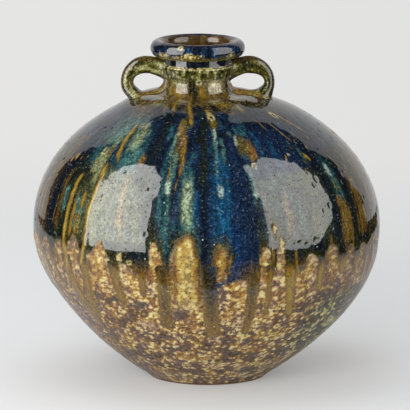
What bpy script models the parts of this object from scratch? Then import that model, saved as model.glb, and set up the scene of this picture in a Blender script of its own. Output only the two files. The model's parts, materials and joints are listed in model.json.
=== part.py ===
"""A stoneware vase with two lug handles, built from the pieces that a potter lutes together.

The vase stands on Z = 0 with its belly centred on the Z axis. The lugs lie along X and the front faces -Y.
All lengths are in metres. Each piece is a closed solid, and neighbours keep the thin LUTING gap.
"""

import math

import bmesh
import bpy

# Foot and floor
FOOT_RADIUS = 0.0422
FOOT_CHAMFER = 0.0008
FOOT_RING_WIDTH = 0.0095
FOOT_RECESS = 0.0025
FOOT_RECESS_SLOPE = 0.0015
FLOOR_THICKNESS = 0.009

# Belly and shoulder
BELLY_RADIUS = 0.123
BELLY_HEIGHT = 0.1065
WALL = 0.0065
SHOULDER_RISE = 0.1015
CROWN_RADIUS = 0.0217
BOWL_FULLNESS = 0.0534
SHOULDER_FULLNESS = 0.062
FOOT_FLARE = (0.0126, 0.0068)
CROWN_FLARE = (0.0400, 0.0099)

# Neck, from its seat on the shoulder to the seat of the lip
NECK_FOOT_RADIUS = 0.0350
NECK_FOOT_EDGE = 0.0003
THROAT_RADIUS = 0.0172
WAIST_RADIUS = 0.0226
WAIST_RISE = 0.0078
COLLAR_RISE = 0.0094
COLLAR_RADIUS = 0.0261
COLLAR_TAPER = 0.0013
COLLAR_DEPTH = 0.0093
COLLAR_EDGE = 0.0012
GROOVE_RADIUS = 0.0240
GROOVE_DEPTH = 0.0059
NECK_WALL_AT_LIP = 0.0048

# Rolled lip
LIP_ROLL_RADIUS = 0.00575
LIP_RING_RADIUS = 0.0277
LIP_ROLL_START = math.radians(-122)
LIP_ROLL_END = math.radians(203)

# Lugs, measured out from the neck's axis
LUG_REACH = 0.0543
LUG_LOOP_OUT = 0.0097
LUG_ROOT_DROP = 0.0007
LUG_SINK = 0.0058
LUG_WIDTH = 0.0112
LEFT_COIL = 0.0094
RIGHT_COIL = 0.0078
LEFT_ROOT = 0.0230
RIGHT_ROOT = 0.0238
LUG_ROOT_WIDTH = 0.0140
LUG_ROOT_SAG = 0.0062
LUG_CROWN_THICKNESS = 0.0126
LUG_LANDING_THICKNESS = 0.0108
LUG_LANDING_WIDTH = 0.0190
LEFT_TAIL = 0.004
RIGHT_TAIL = 0.013
TAIL_PROUD = 0.0020
TAIL_END_THICKNESS = 0.0050

# How far the thrown pieces stand off the belly's axis, along X
FOOT_LEAN = 0.0008
BOWL_LEAN = 0.0021
SHOULDER_LEAN = -0.0011
NECK_LEAN = -0.0062
BOWL_LEAN_SHARE = 0.48
SHOULDER_LEAN_SHARE = 0.82

LUTING = 0.0003

# Facets
SEGMENTS = 56
BODY_CURVE_POINTS = 15
INNER_CURVE_POINTS = 11
FLARE_POINTS = 6
ROLL_POINTS = 16
LUG_STATIONS = 22
LUG_SIDES = 16
LOOP_START = math.radians(104)
LOOP_END = math.radians(-52)
SMOOTH_ANGLE = math.radians(40)

CROWN_HEIGHT = BELLY_HEIGHT + SHOULDER_RISE


def clear_scene():
    for item in list(bpy.data.objects):
        bpy.data.objects.remove(item, do_unlink=True)


def bezier(start, start_handle, end_handle, end, count):
    """Points along a cubic curve in the (radius, height) plane."""
    points = []
    for index in range(count):
        t = index / (count - 1)
        weights = ((1 - t) ** 3, 3 * t * (1 - t) ** 2, 3 * t * t * (1 - t), t**3)
        corners = (start, start_handle, end_handle, end)
        points.append(tuple(sum(w * c[axis] for w, c in zip(weights, corners)) for axis in (0, 1)))
    return points


def arc(centre, radius, start, end, count):
    """Points along a circular arc, from one angle to another."""
    angles = [start + (end - start) * index / (count - 1) for index in range(count)]
    return [(centre[0] + radius * math.cos(a), centre[1] + radius * math.sin(a)) for a in angles]


def offset(points, distance):
    """The curve moved sideways, to the left of its direction of travel, with mitred corners."""
    lefts = []
    for start, end in zip(points, points[1:]):
        run = math.dist(start, end)
        lefts.append((-(end[1] - start[1]) / run, (end[0] - start[0]) / run))
    moved = []
    for point, before, after in zip(points, lefts[:1] + lefts, lefts + lefts[-1:]):
        reach = distance / (1 + before[0] * after[0] + before[1] * after[1])
        moved.append((point[0] + reach * (before[0] + after[0]), point[1] + reach * (before[1] + after[1])))
    return moved


def smooth_blend(amount):
    return amount * amount * (3 - 2 * amount)


def bowl_curve(count):
    """The outside of the bowl, from the foot's edge up to the belly."""
    foot = (FOOT_RADIUS, FOOT_CHAMFER)
    foot_handle = (FOOT_RADIUS + FOOT_FLARE[0], FOOT_CHAMFER + FOOT_FLARE[1])
    belly_handle = (BELLY_RADIUS, BELLY_HEIGHT - BOWL_FULLNESS)
    return bezier(foot, foot_handle, belly_handle, (BELLY_RADIUS, BELLY_HEIGHT), count)


def dome_curve(count):
    """The outside of the shoulder, from the belly up to the crown under the neck."""
    belly_handle = (BELLY_RADIUS, BELLY_HEIGHT + SHOULDER_FULLNESS)
    crown_handle = (CROWN_RADIUS + CROWN_FLARE[0], CROWN_HEIGHT - CROWN_FLARE[1])
    crown = (CROWN_RADIUS, CROWN_HEIGHT)
    return bezier((BELLY_RADIUS, BELLY_HEIGHT), belly_handle, crown_handle, crown, count)


def shoulder_height(radius):
    """How high the dome's outside stands at a radius."""
    curve = dome_curve(200)
    for lower, upper in zip(curve, curve[1:]):
        if upper[0] <= radius <= lower[0]:
            share = (lower[0] - radius) / (lower[0] - upper[0])
            return lower[1] + share * (upper[1] - lower[1])
    return CROWN_HEIGHT


SEAT_HEIGHT = shoulder_height(NECK_FOOT_RADIUS)
LEDGE_HEIGHT = SEAT_HEIGHT + COLLAR_RISE + COLLAR_DEPTH
LIP_SEAT_HEIGHT = LEDGE_HEIGHT + GROOVE_DEPTH


def lean(height):
    """How far the pot's axis stands off the belly's axis at a height."""
    stations = (
        (0.0, FOOT_LEAN),
        (BOWL_LEAN_SHARE * BELLY_HEIGHT, BOWL_LEAN),
        (BELLY_HEIGHT, 0.0),
        (BELLY_HEIGHT + SHOULDER_LEAN_SHARE * SHOULDER_RISE, SHOULDER_LEAN),
        (SEAT_HEIGHT, NECK_LEAN),
    )
    for (low, low_lean), (high, high_lean) in zip(stations, stations[1:]):
        if height <= high:
            share = max(height - low, 0.0) / (high - low)
            return low_lean + (high_lean - low_lean) * smooth_blend(share)
    return NECK_LEAN


def clay(name, colour, roughness):
    """A glazed finish for one piece."""
    material = bpy.data.materials.new(name)
    material.use_nodes = True
    shader = material.node_tree.nodes["Principled BSDF"]
    shader.inputs["Base Color"].default_value = (*colour, 1.0)
    shader.inputs["Roughness"].default_value = roughness
    shader.inputs["Metallic"].default_value = 0.0
    material.diffuse_color = (*colour, 1.0)
    return material


def finish_piece(name, bm, material):
    """Turns the built mesh into a smooth shaded object."""
    bmesh.ops.recalc_face_normals(bm, faces=bm.faces)
    mesh = bpy.data.meshes.new(name)
    bm.to_mesh(mesh)
    bm.free()
    mesh.materials.append(material)
    mesh.shade_smooth()
    mesh.set_sharp_from_angle(angle=SMOOTH_ANGLE)
    piece = bpy.data.objects.new(name, mesh)
    bpy.context.scene.collection.objects.link(piece)
    return piece


def turn(name, outline, material):
    """Spins a closed (radius, height) outline round the axis and gives it the pot's lean."""
    bm = bmesh.new()
    corners = [bm.verts.new((radius, 0.0, height)) for radius, height in outline]
    edges = [bm.edges.new(pair) for pair in zip(corners, corners[1:])]
    if outline[0][0] > 0 and outline[-1][0] > 0:
        edges.append(bm.edges.new((corners[-1], corners[0])))
    bmesh.ops.spin(
        bm,
        geom=corners + edges,
        cent=(0, 0, 0),
        axis=(0, 0, 1),
        angle=math.tau,
        steps=SEGMENTS,
        use_merge=True,
    )
    bmesh.ops.remove_doubles(bm, verts=bm.verts, dist=1e-6)
    for vertex in bm.verts:
        vertex.co.x += lean(vertex.co.z)
    return finish_piece(name, bm, material)


def lower_body():
    """The bowl: recessed foot, outside up to the joint, inside down to the floor."""
    outside = bowl_curve(BODY_CURVE_POINTS)
    outside[-1] = (BELLY_RADIUS, BELLY_HEIGHT - LUTING / 2)
    floor = FOOT_RECESS + FLOOR_THICKNESS
    inside = offset(bowl_curve(INNER_CURVE_POINTS), WALL)
    inside[-1] = (BELLY_RADIUS - WALL, BELLY_HEIGHT - LUTING / 2)
    above = [point for point in inside if point[1] > floor]
    below = [point for point in inside if point[1] <= floor]
    share = (floor - below[-1][1]) / (above[0][1] - below[-1][1])
    corner = (below[-1][0] + share * (above[0][0] - below[-1][0]), floor)
    ring_inside = FOOT_RADIUS - FOOT_CHAMFER - FOOT_RING_WIDTH
    foot = [
        (0.0, FOOT_RECESS),
        (ring_inside - FOOT_RECESS_SLOPE, FOOT_RECESS),
        (ring_inside, 0.0),
        (FOOT_RADIUS - FOOT_CHAMFER, 0.0),
    ]
    outline = foot + outside + above[::-1] + [corner, (0.0, floor)]
    return turn("lower_body", outline, clay("crusted_glaze", (0.30, 0.22, 0.13), 0.45))


def dome_to_seat(count):
    """The dome's outside, ended where the neck's foot sits."""
    curve = dome_curve(4 * count)
    kept = [point for point in curve if point[0] > NECK_FOOT_RADIUS + CROWN_FLARE[1] / 4]
    return kept[::4] + [(NECK_FOOT_RADIUS, SEAT_HEIGHT)]


def upper_body():
    """The shoulder dome, from the belly joint to the flat seat round the throat."""
    outside = dome_to_seat(BODY_CURVE_POINTS)
    outside[0] = (BELLY_RADIUS, BELLY_HEIGHT + LUTING / 2)
    inside = offset(dome_curve(INNER_CURVE_POINTS), WALL)
    inside[0] = (BELLY_RADIUS - WALL, BELLY_HEIGHT + LUTING / 2)
    inside = [point for point in inside if point[0] > THROAT_RADIUS]
    throat_bottom = (THROAT_RADIUS, SEAT_HEIGHT - WALL)
    inside = [point for point in inside if point[1] < throat_bottom[1]] + [throat_bottom]
    outline = outside + [(THROAT_RADIUS, SEAT_HEIGHT)] + inside[::-1]
    return turn("upper_body", outline, clay("blue_run_glaze", (0.03, 0.07, 0.12), 0.2))


def neck_side():
    """The neck's outside, from its flared foot up to the seat of the lip."""
    foot = (NECK_FOOT_RADIUS, SEAT_HEIGHT + LUTING)
    edge = (NECK_FOOT_RADIUS, foot[1] + NECK_FOOT_EDGE)
    waist = (WAIST_RADIUS, SEAT_HEIGHT + WAIST_RISE)
    spread = 0.55 * (NECK_FOOT_RADIUS - WAIST_RADIUS)
    dome_slope = (shoulder_height(NECK_FOOT_RADIUS - spread) - SEAT_HEIGHT) / spread
    flare_handle = (NECK_FOOT_RADIUS - spread, edge[1] + dome_slope * spread)
    waist_handle = (WAIST_RADIUS, waist[1] - 0.45 * WAIST_RISE)
    flare = bezier(edge, flare_handle, waist_handle, waist, FLARE_POINTS)
    collar_low = SEAT_HEIGHT + COLLAR_RISE
    collar_foot = COLLAR_RADIUS - COLLAR_TAPER
    collar = [
        (WAIST_RADIUS + 0.35 * (collar_foot - WAIST_RADIUS), collar_low - 0.2 * COLLAR_EDGE),
        (collar_foot, collar_low + COLLAR_EDGE),
    ]
    ledge_centre = (COLLAR_RADIUS - COLLAR_EDGE, LEDGE_HEIGHT - COLLAR_EDGE)
    ledge = arc(ledge_centre, COLLAR_EDGE, 0.0, math.pi / 2, 4)
    groove = [(GROOVE_RADIUS, LEDGE_HEIGHT - 0.2 * COLLAR_EDGE), (GROOVE_RADIUS, LIP_SEAT_HEIGHT)]
    return [foot] + flare + collar + ledge + groove


def neck_collar():
    """The waisted neck, its collar band and the groove under the lip."""
    inside_top = (GROOVE_RADIUS - NECK_WALL_AT_LIP, LIP_SEAT_HEIGHT)
    inside_bottom = (THROAT_RADIUS, SEAT_HEIGHT + LUTING)
    inside_middle = (THROAT_RADIUS, LEDGE_HEIGHT - COLLAR_DEPTH)
    outline = neck_side() + [inside_top, inside_middle, inside_bottom]
    return turn("neck_collar", outline, clay("olive_glaze", (0.16, 0.12, 0.03), 0.2))


def rolled_lip():
    """The fat rolled ring, with the root that stands on the neck."""
    seat = LIP_SEAT_HEIGHT + LUTING
    roll_start_height = LIP_ROLL_RADIUS * math.sin(LIP_ROLL_START)
    centre = (LIP_RING_RADIUS, seat + LUTING - roll_start_height)
    roll = arc(centre, LIP_ROLL_RADIUS, LIP_ROLL_START, LIP_ROLL_END, ROLL_POINTS)
    outline = [(GROOVE_RADIUS, seat)] + roll + [(GROOVE_RADIUS - NECK_WALL_AT_LIP, seat)]
    return turn("rolled_lip", outline, clay("navy_glaze", (0.03, 0.05, 0.12), 0.18))


def lug_stations(coil, root, tail):
    """The coil's centre line and size: (out from the neck, height, half thickness, half width)."""
    loop_centre_out = COLLAR_RADIUS + LUG_LOOP_OUT
    top = LEDGE_HEIGHT - LUG_ROOT_DROP
    bottom = shoulder_height(loop_centre_out) - LUG_SINK
    loop_height = (top + bottom) / 2
    half_rise = (top - bottom) / 2
    half_reach = LUG_REACH - coil / 2 - loop_centre_out
    stations = []
    for index in range(LUG_STATIONS):
        angle = LOOP_START + (LOOP_END - LOOP_START) * index / (LUG_STATIONS - 1)
        out = loop_centre_out + half_reach * math.cos(angle)
        height = loop_height + half_rise * math.sin(angle)
        if angle > 0:
            thickness = coil + (LUG_CROWN_THICKNESS - coil) * math.sin(angle) ** 2
            width = LUG_WIDTH
        else:
            spread = smooth_blend(angle / LOOP_END)
            thickness = coil + (LUG_LANDING_THICKNESS - coil) * spread
            width = LUG_WIDTH + (LUG_LANDING_WIDTH - LUG_WIDTH) * spread
        stations.append((out, height, thickness / 2, width / 2))
    return root_stations(stations[0], root) + stations + tail_stations(stations[-1], tail)


def root_stations(crown, root):
    """The thick end of the coil, which sags down the neck's side as it was pressed on."""
    found = []
    steps = 4
    for index in range(steps):
        share = index / steps
        out = THROAT_RADIUS + LUTING + (crown[0] - THROAT_RADIUS) * share
        height = crown[1] - LUG_ROOT_SAG * (1 - share)
        half = root / 2 + (crown[2] - root / 2) * smooth_blend(share)
        width = LUG_ROOT_WIDTH / 2 + (crown[3] - LUG_ROOT_WIDTH / 2) * share
        found.append((out, height, half, width))
    return found


def tail_stations(landing, tail):
    """The smeared end of the coil, which runs back along the shoulder and thins out."""
    found = []
    steps = 4
    for index in range(1, steps + 1):
        share = index / steps
        out = landing[0] - (tail + LUG_SINK) * share
        half = landing[2] + (TAIL_END_THICKNESS / 2 - landing[2]) * share
        surface = shoulder_height(out + 2 * LUTING)
        sunk = surface + TAIL_PROUD * (1 - share) - half - 2 * LUTING * share
        height = landing[1] + (sunk - landing[1]) * smooth_blend(min(1.0, 1.6 * share))
        width = landing[3] * (1 - 0.45 * share)
        found.append((out, height, half, width))
    return found


def sweep_lug(name, side, stations, material):
    """Lofts rings of clay along the stations, square to the path, and caps both ends."""
    bm = bmesh.new()
    rings = []
    for index, (out, height, half_thickness, half_width) in enumerate(stations):
        before = stations[max(index - 1, 0)]
        after = stations[min(index + 1, len(stations) - 1)]
        run = math.dist(before[:2], after[:2])
        normal = ((after[1] - before[1]) / run, -(after[0] - before[0]) / run)
        ring = []
        for corner in range(LUG_SIDES):
            turn_angle = math.tau * corner / LUG_SIDES
            across = half_thickness * math.cos(turn_angle)
            x = NECK_LEAN + side * (out + across * normal[0])
            z = height + across * normal[1]
            ring.append(bm.verts.new((x, half_width * math.sin(turn_angle), z)))
        rings.append(ring)
    for first, second in zip(rings, rings[1:]):
        edges = [bm.edges.get(pair) or bm.edges.new(pair) for pair in loop_pairs(first)]
        edges += [bm.edges.get(pair) or bm.edges.new(pair) for pair in loop_pairs(second)]
        bmesh.ops.bridge_loops(bm, edges=edges)
    bm.faces.new(rings[0])
    bm.faces.new(rings[-1][::-1])
    return finish_piece(name, bm, material)


def loop_pairs(ring):
    return list(zip(ring, ring[1:] + ring[:1]))


def joint_cutter():
    """The neck and shoulder, one luting gap larger, to cope the ends of the lugs."""
    side = offset(dome_to_seat(BODY_CURVE_POINTS)[:-1] + neck_side()[1:], -LUTING)
    middle = len(side) // 4
    outline = [(0.0, side[middle][1])] + side[middle:] + [(0.0, side[-1][1])]
    cutter = turn("joint_cutter", outline, clay("guide", (0.5, 0.5, 0.5), 0.5))
    cutter.hide_render = True
    cutter.display_type = "WIRE"
    return cutter


def lugs(cutter):
    """Both handles, coped to the neck and the shoulder."""
    glaze = clay("green_glaze", (0.13, 0.14, 0.06), 0.25)
    for name, side, coil, root, tail in (
        ("left_lug", -1, LEFT_COIL, LEFT_ROOT, LEFT_TAIL),
        ("right_lug", 1, RIGHT_COIL, RIGHT_ROOT, RIGHT_TAIL),
    ):
        lug = sweep_lug(name, side, lug_stations(coil, root, tail), glaze)
        cope = lug.modifiers.new("coped_ends", "BOOLEAN")
        cope.operation = "DIFFERENCE"
        cope.solver = "EXACT"
        cope.object = cutter


def main():
    clear_scene()
    lower_body()
    upper_body()
    neck_collar()
    rolled_lip()
    lugs(joint_cutter())


main()
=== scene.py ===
"""The lug-handled vase with its glaze, on a pale studio floor.

Each thrown or pulled piece of the pot is a class that builds its fine mesh and dresses it. The glaze
is laid out once, in GlazeMap, as fields over the pot's azimuth and height, so that the runs pass from
one piece to the next. Lengths are metres in the forms and millimetres in the glaze map, as said there.
"""

from __future__ import annotations

import json
import logging
import math
from collections.abc import Callable
from dataclasses import dataclass
from enum import Enum
from typing import NamedTuple

import bpy
import numpy as np
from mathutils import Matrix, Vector

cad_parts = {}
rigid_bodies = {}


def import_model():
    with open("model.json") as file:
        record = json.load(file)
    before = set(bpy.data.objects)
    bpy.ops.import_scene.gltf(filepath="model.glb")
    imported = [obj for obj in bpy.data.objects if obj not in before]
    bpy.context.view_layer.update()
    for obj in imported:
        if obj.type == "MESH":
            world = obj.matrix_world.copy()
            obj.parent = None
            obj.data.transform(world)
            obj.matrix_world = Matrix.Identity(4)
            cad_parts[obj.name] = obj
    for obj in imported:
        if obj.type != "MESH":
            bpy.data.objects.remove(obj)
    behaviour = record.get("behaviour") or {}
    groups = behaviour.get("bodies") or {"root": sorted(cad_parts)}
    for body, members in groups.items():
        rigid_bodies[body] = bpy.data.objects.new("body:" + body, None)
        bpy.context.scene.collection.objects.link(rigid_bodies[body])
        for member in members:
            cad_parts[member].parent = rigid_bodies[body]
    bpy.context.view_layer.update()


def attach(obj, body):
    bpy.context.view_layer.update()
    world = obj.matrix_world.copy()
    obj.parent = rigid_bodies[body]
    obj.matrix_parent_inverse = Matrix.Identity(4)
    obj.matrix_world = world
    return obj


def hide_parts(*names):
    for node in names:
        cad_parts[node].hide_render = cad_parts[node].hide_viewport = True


LOG = logging.getLogger("vase")
MM = 0.001
DEGREE = math.pi / 180


class Tint(NamedTuple):
    """A colour of the glazes or the clay, as linear light."""

    red: float
    green: float
    blue: float


Array = np.ndarray
Socket = bpy.types.NodeSocket
Pair = tuple[float, float]
Triple = tuple[float, float, float]
Stops = tuple[tuple[float, Tint], ...]

NIGHT = Tint(0.004, 0.007, 0.014)
NAVY = Tint(0.006, 0.016, 0.042)
INDIGO = Tint(0.005, 0.022, 0.070)
COBALT = Tint(0.006, 0.065, 0.140)
TEAL = Tint(0.012, 0.068, 0.080)
SEA = Tint(0.060, 0.145, 0.118)
MILK = Tint(0.400, 0.480, 0.360)
BLACK_GREEN = Tint(0.009, 0.012, 0.006)
MOSS = Tint(0.034, 0.034, 0.007)
OLIVE = Tint(0.110, 0.085, 0.012)
FERN = Tint(0.055, 0.078, 0.025)
UMBER = Tint(0.085, 0.045, 0.008)
BRONZE = Tint(0.190, 0.108, 0.016)
AMBER = Tint(0.270, 0.185, 0.018)
HONEY = Tint(0.400, 0.300, 0.050)
CREAM = Tint(0.560, 0.465, 0.200)
BISQUE = Tint(0.720, 0.640, 0.340)
OCHRE = Tint(0.330, 0.190, 0.040)
RUST = Tint(0.210, 0.085, 0.018)
ROSE = Tint(0.340, 0.200, 0.115)
MAUVE = Tint(0.100, 0.063, 0.046)
SAGE = Tint(0.280, 0.300, 0.130)
CLAY = Tint(0.260, 0.130, 0.060)


def smoothstep(low: float, high: float, value: Array) -> Array:
    """A soft step.

    Args:
        low: Where the step starts to rise.
        high: Where it is whole.
        value: What is tested.

    Returns:
        Numbers from 0 to 1, of value's shape.
    """
    share = np.clip((value - low) / (high - low), 0.0, 1.0)
    return share * share * (3 - 2 * share)


def band(value: Array, rise: Pair, fall: Pair) -> Array:
    """A soft band.

    Args:
        value: What is tested.
        rise: Where the band starts to rise, and where it is whole.
        fall: Where it starts to fall, and where it has gone.

    Returns:
        Numbers from 0 to 1, of value's shape.
    """
    return smoothstep(*rise, value) * (1 - smoothstep(*fall, value))


def bell(value: Array, middle: float, width: float, power: int = 2) -> Array:
    """A soft bump, 1 at middle and 0.37 one width away. A higher power makes it squarer."""
    return np.exp(-(((value - middle) / width) ** power))


def turn_between(first: Array, second: float) -> Array:
    """The signed angle in degrees from second to first, the short way round."""
    return (first - second + 180.0) % 360.0 - 180.0


def ramp(value: Array, stops: Stops) -> Array:
    """Colours read from a row of stops.

    Args:
        value: Where to read, for each point.
        stops: Places and their tints, in rising order.

    Returns:
        One linear colour for each value.
    """
    places = [place for place, _ in stops]
    channels = [np.interp(value, places, [tint[c] for _, tint in stops]) for c in range(3)]
    return np.stack(channels, axis=-1)


def blend(under: Array, over: Array, cover: Array) -> Array:
    """Lays colours over colours, as thickly as cover says."""
    return under + (over - under) * cover[..., None]


def lay(under: Array, tint: Tint, cover: Array) -> Array:
    """Lays a tint over colours, as thickly as cover says from 0 to 1."""
    return blend(under, np.array(tint), np.clip(cover, 0.0, 1.0))


def unit(vectors: Array) -> Array:
    """The vectors on the last axis, each made one long."""
    return vectors / np.maximum(np.linalg.norm(vectors, axis=-1, keepdims=True), 1e-12)


def tall(points: Array, share: float) -> Array:
    """The points with their heights times share. Noise read there comes out taller if it is under 1."""
    return points * np.array([1.0, 1.0, share])


def round_points(azimuth: Array, radius: Array, height: Array) -> Array:
    """Points on a pot that stands upright.

    Args:
        azimuth: Degrees round the pot, 0 at the front, which faces -Y.
        radius: How far each point is from the axis.
        height: How high it is.

    Returns:
        The points, with three numbers on the last axis.
    """
    turn = np.radians(azimuth)
    return np.stack([radius * np.sin(turn), -radius * np.cos(turn), height], axis=-1)


class ClayNoise:
    """Smooth and cellular random fields in space, the same on each run."""

    def __init__(self, seed: int) -> None:
        """Draws the tables.

        Args:
            seed: Which of the possible fields this is.
        """
        draw = np.random.default_rng(seed)
        self.order = np.tile(draw.permutation(256), 3)
        self.slopes = unit(draw.normal(size=(256, 3)))
        self.scatter = draw.random((256, 4))

    def _entry(self, cell: Array) -> Array:
        """The table entry of each lattice cell."""
        x, y, z = (cell[..., axis] & 255 for axis in range(3))
        return self.order[self.order[self.order[x] + y] + z]

    def smooth(self, points: Array, size: float) -> Array:
        """A rolling field.

        Args:
            points: Places, with three numbers on the last axis.
            size: The width of one swell, in the same unit.

        Returns:
            Numbers of about -1 to 1, one for each place.
        """
        place = points / size
        cell = np.floor(place).astype(int)
        inside = place - cell
        ease = inside**3 * (inside * (inside * 6 - 15) + 10)
        total = np.zeros(points.shape[:-1])
        for corner in np.ndindex(2, 2, 2):
            step = np.array(corner)
            slope = self.slopes[self._entry(cell + step)]
            weight = np.prod(np.where(step == 1, ease, 1 - ease), axis=-1)
            total += weight * np.sum(slope * (inside - step), axis=-1)
        return total * 1.6

    def layered(self, points: Array, size: float, layers: int) -> Array:
        """Swells with finer ones on them, each half as wide and half as strong."""
        parts = [self.smooth(points + 31.7 * k, size / 2**k) / 2**k for k in range(layers)]
        return np.sum(parts, axis=0)

    def cells(self, points: Array, size: float) -> tuple[Array, Array]:
        """A field of grains.

        Args:
            points: Places, with three numbers on the last axis.
            size: The mean width of a grain, in the same unit.

        Returns:
            The distance to the nearest grain's middle, in grain widths, and that grain's own number.
        """
        place = points / size
        home = np.floor(place).astype(int)
        nearest = np.full(points.shape[:-1], 9.0)
        own = np.zeros(points.shape[:-1])
        for shift in np.ndindex(3, 3, 3):
            cell = home + np.array(shift) - 1
            drawn = self.scatter[self._entry(cell)]
            distance = np.linalg.norm(cell + drawn[..., :3] - place, axis=-1)
            closer = distance < nearest
            own = np.where(closer, drawn[..., 3], own)
            nearest = np.where(closer, distance, nearest)
        return nearest, own


NOISE = ClayNoise(11)
FINE_NOISE = ClayNoise(29)


def bezier(corners: tuple[Pair, ...], count: int) -> Array:
    """Points along a cubic curve in the (radius, height) plane."""
    t = np.linspace(0.0, 1.0, count)[:, None]
    weights = ((1 - t) ** 3, 3 * t * (1 - t) ** 2, 3 * t * t * (1 - t), t**3)
    return sum(weight * np.array(corner) for weight, corner in zip(weights, corners))


def run_lengths(points: Array) -> Array:
    """How far along the line each of its points lies."""
    return np.concatenate([[0.0], np.cumsum(np.linalg.norm(np.diff(points, axis=0), axis=1))])


def even(points: Array, count: int) -> Array:
    """The line again, as count points an equal way apart."""
    lengths = run_lengths(points)
    places = np.linspace(0.0, lengths[-1], count)
    return np.stack([np.interp(places, lengths, column) for column in points.T], axis=1)


def soften(points: Array, rounds: int) -> Array:
    """Rounds the line's corners, and keeps its two ends."""
    for _ in range(rounds):
        quarter = points[:-1] * 0.75 + points[1:] * 0.25
        three_quarters = points[:-1] * 0.25 + points[1:] * 0.75
        between = np.stack([quarter, three_quarters], axis=1).reshape(-1, points.shape[1])
        points = np.concatenate([points[:1], between[1:-1], points[-1:]])
    return points


def outward(points: Array) -> Array:
    """The unit normals of a line, to the right of its direction of travel."""
    along = unit(np.gradient(points, axis=0))
    return np.stack([along[:, 1], -along[:, 0]], axis=1)


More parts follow.
